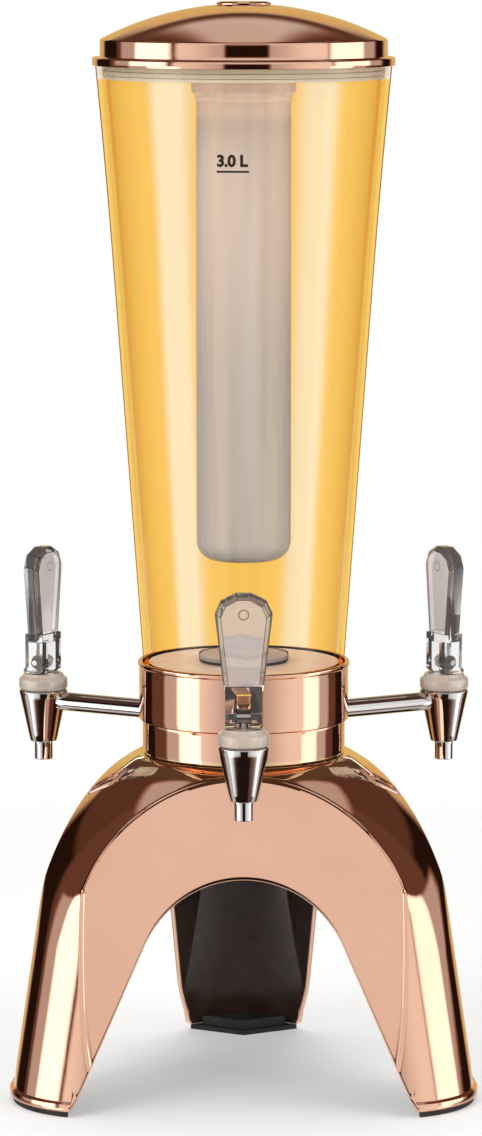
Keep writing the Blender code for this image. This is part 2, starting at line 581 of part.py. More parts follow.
def build_lid(surfaces):
    """The plated cover over a plug-shaped liner, with a seal round the plug and a low cap on top."""
    plug = tank_radius(LINER_BOTTOM_Z) - TANK_WALL - GAP - GAP
    rim = LID_FLANGE_RADIUS - LID_SKIN - GAP
    rim_top = FLANGE_UNDERSIDE_Z + LINER_RIM
    plate_top = LINER_BOTTOM_Z + LINER_PLATE
    stub = TUBE_NECK_RADIUS - TUBE_WALL - GAP - GAP
    stub_bottom = LINER_BOTTOM_Z - TUBE_SOCKET_DEPTH + GAP
    groove_bottom = LINER_BOTTOM_Z + SEAL_FROM_BOTTOM
    groove_top = groove_bottom + SEAL_HEIGHT
    cover_inner_apex = LID_APEX_Z - LID_SKIN
    boss_bore = CAP_STUB_RADIUS + GAP
    stub_end = LID_APEX_Z - CAP_STUB_LENGTH
    boss_top = cover_inner_apex - GAP - LID_SKIN
    liner = [
        (0, LINER_BOTTOM_Z),
        (stub - LINER_PLATE, LINER_BOTTOM_Z),
        (stub - LINER_PLATE, stub_bottom),
        (stub, stub_bottom),
        (stub, LINER_BOTTOM_Z),
        (plug, LINER_BOTTOM_Z),
        (plug, groove_bottom),
        (plug - SEAL_DEPTH, groove_bottom),
        (plug - SEAL_DEPTH, groove_top),
        (plug, groove_top),
        (plug, FLANGE_UNDERSIDE_Z),
        (rim, FLANGE_UNDERSIDE_Z),
        (rim, rim_top),
        (plug - SEAL_DEPTH - LINER_WALL, rim_top),
        (plug - SEAL_DEPTH - LINER_WALL, plate_top),
        (LINER_BOSS_RADIUS, plate_top),
        (LINER_BOSS_RADIUS, boss_top),
        (boss_bore, boss_top),
        (boss_bore, stub_end - GAP),
        (0, stub_end - GAP),
    ]
    turned("lid_liner", liner, surfaces["white_plastic"], MID_STEPS)
    seal = ring_profile(plug - SEAL_DEPTH + GAP, plug + GAP, groove_bottom + GAP, groove_top - GAP)
    turned("lid_seal", seal, surfaces["silicone"], MID_STEPS)
    dome_centre = LID_APEX_Z - LID_DOME_RADIUS
    edge = math.acos(LID_RADIUS / LID_DOME_RADIUS)
    inner_dome = LID_DOME_RADIUS - LID_SKIN
    inner_edge = math.acos((LID_RADIUS - LID_SKIN) / inner_dome)
    hole_edge = math.acos(boss_bore / LID_DOME_RADIUS)
    inner_hole_edge = math.acos(boss_bore / inner_dome)
    outer_arc = arc((0, dome_centre), LID_DOME_RADIUS, edge, hole_edge, LID_STEPS)
    inner_arc = arc((0, dome_centre), inner_dome, inner_hole_edge, inner_edge, LID_STEPS)
    cover = [
        (LID_FLANGE_RADIUS - LID_SKIN, FLANGE_UNDERSIDE_Z),
        (LID_FLANGE_RADIUS, FLANGE_UNDERSIDE_Z),
        (LID_FLANGE_RADIUS, FLANGE_UNDERSIDE_Z + LID_FLANGE_HEIGHT),
        (LID_RADIUS, FLANGE_UNDERSIDE_Z + LID_FLANGE_HEIGHT),
        *outer_arc,
        *inner_arc,
        (LID_RADIUS - LID_SKIN, rim_top + GAP),
        (LID_FLANGE_RADIUS - LID_SKIN, rim_top + GAP),
    ]
    turned("lid_cover", cover, surfaces["rose_gold"])
    under = LID_DOME_RADIUS + GAP
    cap_from = math.acos(CAP_STUB_RADIUS / under)
    under_arc = arc((0, dome_centre), under, cap_from, math.acos(CAP_RADIUS / under), FILLET_STEPS)
    cap = [
        (0, stub_end),
        (CAP_STUB_RADIUS, stub_end),
        *under_arc,
        (CAP_RADIUS, under_arc[-1][1] + CAP_EDGE),
        (CAP_RADIUS - CAP_CHAMFER, LID_APEX_Z + CAP_RISE),
        (0, LID_APEX_Z + CAP_RISE + GAP),
    ]
    turned("lid_cap", cap, surfaces["rose_gold"], MID_STEPS)


def body_radius(height):
    """The tap body's outer radius, a straight cone."""
    along = (height - BODY_BOTTOM_Z) / (BODY_TOP_Z - BODY_BOTTOM_Z)
    return BODY_BOTTOM_RADIUS + along * (BODY_TOP_RADIUS - BODY_BOTTOM_RADIUS)


def build_shank(number, surfaces, frame):
    """The pipe from the manifold to the tap, with its washer and nut against the manifold's wall."""
    start = CHAMBER_RADIUS + SHANK_PROUD_IN_CHAMBER
    end = TAP_DISTANCE - body_radius(SHANK_Z) + SHANK_SEAT_DEPTH
    pipe = turned_shape(ring_profile(SHANK_BORE_RADIUS, SHANK_RADIUS, 0, end - start), SMALL_STEPS)
    add_object(f"shank_{number}", lay_along_x(pipe, start, SHANK_Z), surfaces["chrome"], frame)
    washer_start = MANIFOLD_RADIUS + GAP
    washer = ring_profile(PORT_RADIUS, SHANK_WASHER_RADIUS, 0, SHANK_WASHER_THICKNESS)
    washer_shape = lay_along_x(turned_shape(washer, PIN_STEPS), washer_start, SHANK_Z)
    add_object(f"shank_washer_{number}", washer_shape, surfaces["black_rubber"], frame)
    nut_start = washer_start + SHANK_WASHER_THICKNESS + GAP
    blank = turned_shape(rod_profile(SHANK_NUT_CORNER_RADIUS, 0, SHANK_NUT_THICKNESS), HEX)
    blank = lay_along_x(blank, nut_start, SHANK_Z)
    nut = add_object(f"shank_nut_{number}", blank, surfaces["steel"], frame)
    bore_end = nut_start + SHANK_NUT_THICKNESS + CUT_OVERRUN
    bore = shank_cutter(f"nut_bore_{number}", frame, PORT_RADIUS, MANIFOLD_RADIUS - CUT_OVERRUN, bore_end)
    combine(nut, "DIFFERENCE", bore)


def build_tap_body(number, surfaces, frame):
    """The coned body with its valve seat, the nozzle beneath and the clear bonnet on top."""
    place = (TAP_DISTANCE, 0, 0)
    spigot_hole = NOZZLE_SPIGOT_RADIUS + GAP
    socket_top = BODY_BOTTOM_Z + NOZZLE_SPIGOT_LENGTH + GAP
    body = [
        (spigot_hole, BODY_BOTTOM_Z),
        (BODY_BOTTOM_RADIUS, BODY_BOTTOM_Z),
        (body_radius(BODY_TOP_Z - BODY_CHAMFER), BODY_TOP_Z - BODY_CHAMFER),
        (BODY_TOP_RADIUS - BODY_CHAMFER, BODY_TOP_Z),
        (VALVE_BORE_RADIUS, BODY_TOP_Z),
        (VALVE_BORE_RADIUS, VALVE_SEAT_Z),
        (VALVE_PORT_RADIUS, VALVE_SEAT_Z - VALVE_SEAT_DROP),
        (VALVE_PORT_RADIUS, socket_top),
        (spigot_hole, socket_top),
    ]
    tap_body = turned(f"tap_body_{number}", body, surfaces["chrome"], TAP_STEPS, frame, place)
    start = TAP_DISTANCE - BODY_TOP_RADIUS - CUT_OVERRUN
    end = TAP_DISTANCE - VALVE_PORT_RADIUS
    socket = shank_cutter(f"socket_form_{number}", frame, PORT_RADIUS, start, end)
    combine(tap_body, "DIFFERENCE", socket)
    nozzle_top = BODY_BOTTOM_Z - GAP
    nozzle = [
        (NOZZLE_BORE_RADIUS, nozzle_top - NOZZLE_LENGTH),
        (NOZZLE_RADIUS, nozzle_top - NOZZLE_LENGTH),
        (NOZZLE_RADIUS, nozzle_top),
        (NOZZLE_SPIGOT_RADIUS, nozzle_top),
        (NOZZLE_SPIGOT_RADIUS, nozzle_top + NOZZLE_SPIGOT_LENGTH),
        (NOZZLE_BORE_RADIUS, nozzle_top + NOZZLE_SPIGOT_LENGTH),
    ]
    turned(f"nozzle_{number}", nozzle, surfaces["chrome"], SMALL_STEPS, frame, place)
    bonnet_bottom = BODY_TOP_Z + GAP
    plug = VALVE_BORE_RADIUS - GAP
    shoulder_centre = (BONNET_RADIUS - BONNET_EDGE, BONNET_TOP_Z - BONNET_EDGE)
    shoulder = arc(shoulder_centre, BONNET_EDGE, 0, math.pi / 2, FILLET_STEPS)
    bonnet = [
        (STEM_BORE_RADIUS, bonnet_bottom - BONNET_PLUG_LENGTH),
        (plug, bonnet_bottom - BONNET_PLUG_LENGTH),
        (plug, bonnet_bottom),
        (BONNET_RADIUS - BONNET_FOOT, bonnet_bottom),
        (BONNET_RADIUS, bonnet_bottom + BONNET_FOOT),
        *shoulder,
        (STEM_BORE_RADIUS, BONNET_TOP_Z),
    ]
    turned(f"bonnet_{number}", bonnet, surfaces["clear"], TAP_STEPS, frame, place)


def coil_points(bottom, top):
    """A spring's centre line: an even helix."""
    count = COIL_TURNS * COIL_POINTS_PER_TURN
    steps = [step / count for step in range(count + 1)]
    turns = [(math.tau * COIL_TURNS * share, bottom + share * (top - bottom)) for share in steps]
    return [(SPRING_COIL_RADIUS * math.cos(a), SPRING_COIL_RADIUS * math.sin(a), z) for a, z in turns]


def build_valve(number, surfaces, frame):
    """The lifting stem with its eye, the rubber plug on its foot and the spring that shuts it."""
    seat_slope = VALVE_SEAT_DROP / (VALVE_BORE_RADIUS - VALVE_PORT_RADIUS)
    face_z = VALVE_SEAT_Z - seat_slope * (VALVE_BORE_RADIUS - SEAL_PLUG_FACE_RADIUS) + GAP
    side_z = face_z + seat_slope * (SEAL_PLUG_RADIUS - SEAL_PLUG_FACE_RADIUS)
    plug_top = side_z + SEAL_PLUG_SIDE
    plug = [
        (0, face_z),
        (SEAL_PLUG_FACE_RADIUS, face_z),
        (SEAL_PLUG_RADIUS, side_z),
        (SEAL_PLUG_RADIUS, plug_top),
        (STEM_BORE_RADIUS, plug_top),
        (STEM_BORE_RADIUS, plug_top - STEM_SOCKET_DEPTH),
        (0, plug_top - STEM_SOCKET_DEPTH),
    ]
    place = (TAP_DISTANCE, 0, 0)
    turned(f"stem_seal_{number}", plug, surfaces["black_rubber"], SMALL_STEPS, frame, place)
    stem_bottom = plug_top - STEM_SOCKET_DEPTH + GAP
    collar_bottom = plug_top + GAP
    collar_top = collar_bottom + STEM_COLLAR_THICKNESS
    stem = [
        (0, stem_bottom - PIN_Z),
        (STEM_RADIUS, stem_bottom - PIN_Z),
        (STEM_RADIUS, collar_bottom - PIN_Z),
        (STEM_COLLAR_RADIUS, collar_bottom - PIN_Z),
        (STEM_COLLAR_RADIUS, collar_top - PIN_Z),
        (STEM_RADIUS, collar_top - PIN_Z),
        (STEM_RADIUS, 0),
        (0, 0),
    ]
    place = (TAP_DISTANCE, 0, PIN_Z)
    rod = turned(f"stem_{number}", stem, surfaces["steel"], PIN_STEPS, frame, place)
    eye = arc((0, 0), STEM_EYE_RADIUS, 0, math.tau, SMALL_STEPS)[:-1]
    half_eye = STEM_EYE_WIDTH / 2
    head = extruded(f"eye_form_{number}", eye, -half_eye, half_eye, None, frame, place, "XZ")
    hole = arc((0, 0), PIN_RADIUS + GAP, 0, math.tau, PIN_STEPS)[:-1]
    bore = extruded(f"eye_bore_{number}", hole, -NECK_WIDTH, NECK_WIDTH, None, frame, place, "XZ")
    combine(rod, "UNION", head)
    combine(rod, "DIFFERENCE", bore)
    coil = bpy.data.curves.new(f"spring_{number}", "CURVE")
    coil.dimensions = "3D"
    coil.bevel_depth = SPRING_WIRE_RADIUS
    coil.bevel_resolution = 1
    coil.use_fill_caps = True
    coil.materials.append(surfaces["steel"])
    top = BODY_TOP_Z + GAP - BONNET_PLUG_LENGTH - GAP - SPRING_WIRE_RADIUS
    points = coil_points(collar_top + GAP + SPRING_WIRE_RADIUS, top)
    line = coil.splines.new("POLY")
    line.points.add(len(points) - 1)
    for target, point in zip(line.points, points):
        target.co = (*point, 1)
    spring = bpy.data.objects.new(f"spring_{number}", coil)
    spring.parent = frame
    spring.location = (TAP_DISTANCE, 0, 0)
    bpy.context.scene.collection.objects.link(spring)


def cam_outline():
    """The handle's neck from the side, about the pin at (0, 0), with +X facing out.

    The heel is flat below the pin. Beyond the flat it follows the curve whose distance from the pin,
    measured square to the bonnet, grows evenly with the tilt, so the stem lifts in step with the handle.
    """
    half = NECK_THICKNESS / 2
    drop = PIN_Z - BONNET_TOP_Z - GAP
    toe = []
    for step in range(CAM_STEPS + 1):
        tilt = CAM_SWING * step / CAM_STEPS
        reach = drop + CAM_RISE_PER_RADIAN * tilt
        across = reach * math.sin(tilt) + CAM_RISE_PER_RADIAN * math.cos(tilt)
        down = CAM_RISE_PER_RADIAN * math.sin(tilt) - reach * math.cos(tilt)
        toe.append((across, down))
    top = NECK_TOP_Z - PIN_Z + BLADE_BORDER
    tip = toe[-1]
    return [
        (-half, top),
        (-half, NECK_HEEL_CHAMFER - drop),
        (NECK_HEEL_CHAMFER - half, -drop),
        *toe,
        (tip[0], tip[1] + CAM_TOE_SIDE),
        (half, tip[1] + CAM_TOE_SIDE + tip[0] - half),
        (half, top),
    ]


def blade_points():
    """The faceted blade's corners about the pin: a full outline at the rim, a smaller one on each face."""
    half_outline = [
        (BLADE_FOOT_HALF_WIDTH, NECK_TOP_Z),
        (BLADE_SHOULDER_HALF_WIDTH, BLADE_SHOULDER_Z),
        (BLADE_CORNER_HALF_WIDTH, BLADE_CORNER_Z),
        (BLADE_TOP_HALF_WIDTH, BLADE_TOP_Z),
    ]
    middle = (NECK_TOP_Z + BLADE_TOP_Z) / 2
    half_height = (BLADE_TOP_Z - NECK_TOP_Z) / 2
    wide_share = 1 - BLADE_BORDER / BLADE_SHOULDER_HALF_WIDTH
    tall_share = 1 - BLADE_BORDER / half_height
    points = []
    for width, height in half_outline:
        for side in (-1, 1):
            for face in (-1, 1):
                points.append((face * BLADE_RIM_THICKNESS / 2, side * width, height - PIN_Z))
                inner_height = middle + (height - middle) * tall_share
                points.append((face * BLADE_THICKNESS / 2, side * width * wide_share, inner_height - PIN_Z))
    return points


def build_handle(number, surfaces, frame):
    """The clear lever, forked over the stem's eye, and the pin that it tilts on."""
    place = (TAP_DISTANCE, 0, PIN_Z)
    half = NECK_WIDTH / 2
    handle = extruded(f"handle_{number}", cam_outline(), -half, half, surfaces["clear"], frame, place, "XZ")
    shape = bmesh.new()
    for point in blade_points():
        shape.verts.new(point)
    bmesh.ops.convex_hull(shape, input=shape.verts)
    bmesh.ops.recalc_face_normals(shape, faces=shape.faces)
    blade = add_object(f"blade_form_{number}", shape, None, frame, place)
    deep = NECK_THICKNESS
    high = SLOT_TOP_Z - PIN_Z
    slot_outline = [(-deep, -deep), (deep, -deep), (deep, high), (-deep, high)]
    half_slot = SLOT_WIDTH / 2
    slot = extruded(f"slot_form_{number}", slot_outline, -half_slot, half_slot, None, frame, place, "XZ")
    hole = arc((0, 0), PIN_RADIUS + GAP, 0, math.tau, PIN_STEPS)[:-1]
    bore = extruded(f"handle_bore_{number}", hole, -NECK_WIDTH, NECK_WIDTH, None, frame, place, "XZ")
    combine(handle, "UNION", blade)
    combine(handle, "DIFFERENCE", slot, bore)
    section = arc((0, 0), PIN_RADIUS, 0, math.tau, PIN_STEPS)[:-1]
    reach = half - PIN_RECESS
    extruded(f"pivot_pin_{number}", section, -reach, reach, surfaces["steel"], frame, place, "XZ")


def main():
    """Builds the tower from the floor up."""
    clear_scene()
    surfaces = make_surfaces()
    frames = [add_frame(f"tap_frame_{number}", azimuth) for number, azimuth in enumerate(TAP_AZIMUTHS, 1)]
    build_base(surfaces)
    build_manifold(surfaces, frames)
    build_collar(surfaces, frames)
    build_tank(surfaces)
    build_ice_tube(surfaces)
    build_lid(surfaces)
    for number, frame in enumerate(frames, 1):
        build_shank(number, surfaces, frame)
        build_tap_body(number, surfaces, frame)
        build_valve(number, surfaces, frame)
        build_handle(number, surfaces, frame)


main()
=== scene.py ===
"""Looks of the beer tower dispenser: its finishes, fine surfaces, drink, studio and camera.

The tower's axis is Z, the floor is Z = 0, the front tap points to -Y, and lengths are in metres.
"""

import logging
import math
from dataclasses import dataclass, field, replace
from enum import Enum
from typing import Any

import bmesh
import bpy
import numpy as np
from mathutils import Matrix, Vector


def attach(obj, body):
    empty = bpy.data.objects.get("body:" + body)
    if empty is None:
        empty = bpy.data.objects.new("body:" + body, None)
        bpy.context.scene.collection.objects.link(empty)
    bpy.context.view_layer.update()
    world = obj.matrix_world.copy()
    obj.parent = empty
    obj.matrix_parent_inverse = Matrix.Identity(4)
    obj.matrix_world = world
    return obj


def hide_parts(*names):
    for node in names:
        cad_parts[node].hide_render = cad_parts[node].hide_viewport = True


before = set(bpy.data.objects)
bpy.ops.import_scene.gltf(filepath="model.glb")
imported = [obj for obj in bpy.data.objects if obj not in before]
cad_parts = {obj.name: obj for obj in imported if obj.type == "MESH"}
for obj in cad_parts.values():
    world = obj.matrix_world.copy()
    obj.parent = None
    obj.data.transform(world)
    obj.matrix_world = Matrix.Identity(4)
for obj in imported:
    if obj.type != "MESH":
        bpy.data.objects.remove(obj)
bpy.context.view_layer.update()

Array = np.ndarray
MM = 0.001
GAP = 0.3 * MM
MERGE = 0.0005 * MM
SHARP = math.radians(32)
WHITE = (1.0, 1.0, 1.0, 1.0)
DARK = (0.02, 0.015, 0.012, 1.0)
BLACK = (0.0, 0.0, 0.0, 1.0)
log = logging.getLogger("beer_tower")

TAPS = 3
TAP_AZIMUTHS = [math.tau * number / TAPS - math.pi / 2 for number in range(TAPS)]
SECTOR = math.pi / TAPS


class Slot(Enum):
    """The record's material slots."""

    ROSE_GOLD = "rose_gold"
    CHROME = "chrome"
    STEEL = "steel"
    CLEAR_TANK = "clear_tank"
    CLEAR_HANDLE = "clear_handle"
    FROSTED_TUBE = "frosted_tube"
    LINER_PLASTIC = "liner_plastic"
    SILICONE = "silicone"
    BLACK_RUBBER = "black_rubber"


# Shader building


class Sock:
    """A shader value that sums, products and powers can be written with."""

    def __init__(self, recipe: "Recipe", socket: bpy.types.NodeSocket) -> None:
        """Wraps one output socket of a recipe's tree."""
        self.recipe = recipe
        self.socket = socket

    def math(self, operation: str, *others: Any) -> "Sock":
        """Adds a Math node on this value.

        Args:
            operation: The Math node's operation.
            others: The node's further inputs, as numbers or values.

        Returns:
            The node's result.
        """
        return self.recipe.math(operation, self, *others)

    def __add__(self, other: Any) -> "Sock":
        """This value plus another."""
        return self.math("ADD", other)

    def __radd__(self, other: Any) -> "Sock":
        """Another value plus this one."""
        return self.math("ADD", other)

    def __sub__(self, other: Any) -> "Sock":
        """This value less another."""
        return self.math("SUBTRACT", other)

    def __rsub__(self, other: Any) -> "Sock":
        """Another value less this one."""
        return self.recipe.math("SUBTRACT", other, self)

    def __mul__(self, other: Any) -> "Sock":
        """This value times another."""
        return self.math("MULTIPLY", other)

    def __rmul__(self, other: Any) -> "Sock":
        """Another value times this one."""
        return self.math("MULTIPLY", other)

    def __truediv__(self, other: Any) -> "Sock":
        """This value over another."""
        return self.math("DIVIDE", other)

    def __rtruediv__(self, other: Any) -> "Sock":
        """Another value over this one."""
        return self.recipe.math("DIVIDE", other, self)

    def __pow__(self, other: Any) -> "Sock":
        """This value to a power."""
        return self.math("POWER", other)

    def larger(self, other: Any) -> "Sock":
        """The larger of this value and another."""
        return self.math("MAXIMUM", other)

    def smooth(self, low: float, high: float) -> "Sock":
        """A smooth step from 0 at low to 1 at high."""
        settings = {"interpolation_type": "SMOOTHSTEP"}
        return self.recipe.node("ShaderNodeMapRange", settings, {0: self, 1: low, 2: high})

    def band(self, low: float, high: float, soft: float) -> "Sock":
        """One between low and high, falling to 0 over a soft edge.

        Args:
            low: The middle of the lower edge.
            high: The middle of the upper edge.
            soft: Half the width of each edge.

        Returns:
            The band's strength.
        """
        rise = self.smooth(low - soft, low + soft)
        return rise * (1 - self.smooth(high - soft, high + soft))


class Recipe:
    """A node tree that is written from top to bottom."""

    def __init__(self, owner: Any) -> None:
        """Clears the node tree of a material or a world."""
        owner.use_nodes = True
        self.tree = owner.node_tree
        self.tree.nodes.clear()

    def node(
        self,
        kind: str,
        settings: dict[str, Any] | None = None,
        inputs: dict[str | int, Any] | None = None,
        output: str | int = 0,
    ) -> Sock:
        """Adds a node.

        Args:
            kind: The node's type.
            settings: Its properties; "stops" is a colour ramp's list of (place, colour).
            inputs: Values or links, by the socket's name or number.
            output: The output to hand back.

        Returns:
            The chosen output.
        """
        made = self.tree.nodes.new(kind)
        for name, value in (settings or {}).items():
            if name == "stops":
                self.set_stops(made.color_ramp, value)
            else:
                setattr(made, name, value)
        for key, value in (inputs or {}).items():
            if isinstance(value, Sock):
                self.tree.links.new(value.socket, made.inputs[key])
            else:
                made.inputs[key].default_value = value
        if not made.outputs:
            return Sock(self, None)
        return Sock(self, made.outputs[output])

    def set_stops(self, ramp: bpy.types.ColorRamp, stops: list[tuple[float, tuple]]) -> None:
        """Gives a colour ramp its stops."""
        while len(ramp.elements) < len(stops):
            ramp.elements.new(1.0)
        for element, (place, colour) in zip(ramp.elements, stops):
            element.position = place
            element.color = colour

    def math(self, operation: str, *values: Any) -> Sock:
        """Adds a Math node on numbers or values."""
        return self.node("ShaderNodeMath", {"operation": operation}, dict(enumerate(values)))

    def place(self, output: str = "Object") -> Sock:
        """The surface point's own coordinates."""
        return self.node("ShaderNodeTexCoord", None, None, output)

    def axis(self, vector: Sock, name: str) -> Sock:
        """One coordinate of a vector."""
        return self.node("ShaderNodeSeparateXYZ", None, {0: vector}, name)

    def noise(self, scale: float, detail: float = 2.0, stretch: tuple = (1, 1, 1)) -> Sock:
        """Smooth noise in object space.

        Args:
            scale: Grains per metre.
            detail: Layers of finer noise.
            stretch: How much finer the grain is along each axis.

        Returns:
            A value around 0.5.
        """
        mapped = self.node("ShaderNodeMapping", None, {"Vector": self.place(), "Scale": stretch})
        return self.node("ShaderNodeTexNoise", None, {"Vector": mapped, "Scale": scale, "Detail": detail})

    def blend(self, share: Any, first: Any, second: Any) -> Sock:
        """Mixes two colours, from the first at 0 to the second at 1."""
        inputs = {0: share, 6: first, 7: second}
        return self.node("ShaderNodeMix", {"data_type": "RGBA"}, inputs, 2)

    def bump(self, height: Sock, distance: float, strength: float = 1.0) -> Sock:
        """A surface normal pushed by a height.

        Args:
            height: The height, from 0 to 1.
            distance: The real height of 1, in metres.
            strength: How much of it shows.

        Returns:
            The normal.
        """
        inputs = {"Height": height, "Distance": distance, "Strength": strength}
        return self.node("ShaderNodeBump", None, inputs)

    def principled(self, **inputs: Any) -> Sock:
        """The main surface shader; underscores in a name stand for spaces."""
        named = {key.replace("_", " "): value for key, value in inputs.items()}
        return self.node("ShaderNodeBsdfPrincipled", None, named)

    def mixed(self, share: Any, first: Sock, second: Sock) -> Sock:
        """Mixes two shaders, from the first at 0 to the second at 1."""
        return self.node("ShaderNodeMixShader", None, {0: share, 1: first, 2: second})

    def finish(self, surface: Sock, volume: Sock | None = None) -> None:
        """Joins a surface, and a volume if there is one, to a material's output."""
        inputs = {"Surface": surface}
        if volume:
            inputs["Volume"] = volume
        self.node("ShaderNodeOutputMaterial", None, inputs)


def rgba(red: float, green: float, blue: float) -> tuple[float, float, float, float]:
    """An opaque colour."""
    return (red, green, blue, 1.0)


class Finish:
    """A finish that makes its material once."""

    name: str
    slot: Slot

    def recipe(self, recipe: Recipe) -> None:
        """Writes the finish's nodes."""
        raise NotImplementedError

    def material(self) -> bpy.types.Material:
        """The finish's material, made the first time it is asked for."""
        known = bpy.data.materials.get(self.name)
        if known:
            return known
        made = bpy.data.materials.new(self.name)
        self.recipe(Recipe(made))
        return made


@dataclass(frozen=True)
class PlatedMetal(Finish):
    """A mirror plating with faint orange peel, cleaning haze and hairline polish."""

    name: str
    slot: Slot
    tint: tuple[float, float, float, float]
    deep_tint: tuple[float, float, float, float]
    gloss: float = 0.035
    haze: float = 0.05
    peel: float = 0.004 * MM
    # Painted light: the colour of a golden glow painted into the hollow between dome and collar.
    painted_hollow_glow: tuple = rgba(1.0, 0.77, 0.49)
    hollow_low: float = 0.181
    hollow_high: float = 0.1893

    def recipe(self, recipe: Recipe) -> None:
        """Noise drives the tint, haze and peel; the hollow between dome and collar gets a painted golden glow in its
        colour.
        """
        cloud = recipe.noise(18.0, 3.0)
        smear = recipe.noise(45.0, 4.0, (1, 1, 3))
        haze = self.gloss + self.haze * smear.smooth(0.42, 0.78)
        plate = recipe.blend(cloud.smooth(0.35, 0.7), self.tint, self.deep_tint)
        # Painted light: a band of height where the plating is painted golder, for the glow in the hollow between dome
        # and collar.
        hollow = recipe.axis(recipe.place(), "Z").band(self.hollow_low, self.hollow_high, 1.5 * MM)
        shader = recipe.principled(
            Base_Color=recipe.blend(hollow, plate, self.painted_hollow_glow),
            Metallic=1.0,
            Roughness=haze,
            Normal=recipe.bump(recipe.noise(260.0, 1.0), self.peel),
        )
        recipe.finish(shader)


@dataclass(frozen=True)
class TurnedSteel(Finish):
    """Turned stainless steel with fine tool rings up its height."""

    name: str = "turned_steel"
    slot: Slot = Slot.STEEL
    tint: tuple = rgba(0.62, 0.60, 0.58)
    worn: tuple = rgba(0.50, 0.48, 0.46)

    def recipe(self, recipe: Recipe) -> None:
        """Noise drawn out round the axis makes the rings."""
        rings = recipe.noise(90.0, 2.0, (1, 1, 60))
        shader = recipe.principled(
            Base_Color=recipe.blend(recipe.noise(60.0), self.tint, self.worn),
            Metallic=1.0,
            Roughness=0.22 + 0.16 * rings,
            Normal=recipe.bump(rings, 0.01 * MM),
        )
        recipe.finish(shader)


@dataclass(frozen=True)
class ClearWall(Finish):
    """Clear tank plastic: a thin gloss, and an edge that the drink's amber fills out to a dark line."""

    name: str
    filled: tuple[float, float, float, float]
    rim: tuple[float, float, float, float]
    slot: Slot = Slot.CLEAR_TANK
    gloss_share: float = 0.5
    body: tuple = rgba(0.998, 0.995, 0.99)
    # Painted shade: a warm darker tint for the wall just under the lid.
    painted_lid_shade: tuple = rgba(0.935, 0.885, 0.81)
    drink_bottom: float = 0.238
    drink_top: float = 0.561

    def recipe(self, recipe: Recipe) -> None:
        """The body turns amber, then dark, as it is seen along itself; above the drink it has a warm painted shade
        under the lid; a power of facing gives the gloss.
        """
        wash = recipe.noise(30.0, 2.0, (1, 1, 0.3))
        gloss = recipe.principled(
            Base_Color=recipe.blend(wash, rgba(0.95, 0.93, 0.9), WHITE),
            Roughness=0.02 + 0.03 * wash.smooth(0.4, 0.8),
            Metallic=1.0,
        )
        path = recipe.tree.nodes.new("ShaderNodeLightPath")
        shadow, soft = (Sock(recipe, path.outputs[name]) for name in ("Is Shadow Ray", "Is Diffuse Ray"))
        plain = (1 - shadow) * (1 - soft)
        tilt = recipe.axis(recipe.place("Normal"), "Z").math("ABSOLUTE")
        upright = 1 - tilt.smooth(0.5, 0.8)
        facing = recipe.node("ShaderNodeLayerWeight", None, {"Blend": 0.5}, "Facing") * upright
        height = recipe.axis(recipe.place(), "Z")
        wet = height.band(self.drink_bottom, self.drink_top, 0.4 * MM)
        clear = recipe.node("ShaderNodeBsdfTransparent", None, {"Color": self.body})
        amber = recipe.node("ShaderNodeBsdfTransparent", None, {"Color": self.filled})
        along = recipe.node("ShaderNodeBsdfTransparent", None, {"Color": self.rim})
        # Painted shade: the wall above the drink is tinted warm and darker, for the shade under the lid.
        painted_lid_shade = recipe.node("ShaderNodeBsdfTransparent", None, {"Color": self.painted_lid_shade})
        under_lid = height.smooth(self.drink_top - 1 * MM, self.drink_top + 2 * MM)
        body = recipe.mixed(facing.smooth(0.57, 0.66) * wet * plain, clear, amber)
        body = recipe.mixed(under_lid * plain, body, painted_lid_shade)
        body = recipe.mixed(facing.smooth(0.85, 0.93) * plain, body, along)
        share = self.gloss_share * (0.04 + 0.96 * facing**5) * (1 - facing.smooth(0.66, 0.86)) * plain
        recipe.finish(recipe.mixed(share, body, gloss))


@dataclass(frozen=True)
class ClearAcrylic(Finish):
    """Polished acrylic: real glass with a slight smoke in it."""

    name: str
    slot: Slot = Slot.CLEAR_HANDLE
    smoke: tuple = rgba(0.80, 0.72, 0.68)
    pale: tuple = rgba(0.88, 0.82, 0.78)
    clarity: float = 0.94
    dimple_azimuth: float | None = None
    dimple_height: float = 283 * MM
    dimple_radius: float = 2.6 * MM

    def dimple(self, recipe: Recipe) -> Sock | float:
        """A painted dark ring that stands for the shade round the small dimple in a handle's outer face."""
        if self.dimple_azimuth is None:
            return 0.0
        place = recipe.place()
        turn = math.radians(self.dimple_azimuth)
        across = recipe.axis(place, "Y") * math.cos(turn) - recipe.axis(place, "X") * math.sin(turn)
        above = recipe.axis(place, "Z") - self.dimple_height
        reach = (across * across + above * above) ** 0.5
        return reach.band(self.dimple_radius - 0.3 * MM, self.dimple_radius + 0.3 * MM, 0.15 * MM)

    def recipe(self, recipe: Recipe) -> None:
        """A glass shader is mixed with a pale translucent body, which carries the dimple's painted dark ring."""
        wash = recipe.noise(120.0, 2.0)
        glass = recipe.principled(
            Base_Color=recipe.blend(wash, WHITE, rgba(0.97, 0.96, 0.95)),
            Roughness=0.01 + 0.04 * wash.smooth(0.5, 0.8),
            Transmission_Weight=1.0,
            IOR=1.49,
        )
        body = recipe.principled(
            Base_Color=recipe.blend(self.dimple(recipe), recipe.blend(wash, self.smoke, self.pale), DARK),
            Roughness=0.08 + 0.1 * wash,
            Coat_Weight=0.6,
        )
        recipe.finish(recipe.mixed(1 - self.clarity, glass, body))


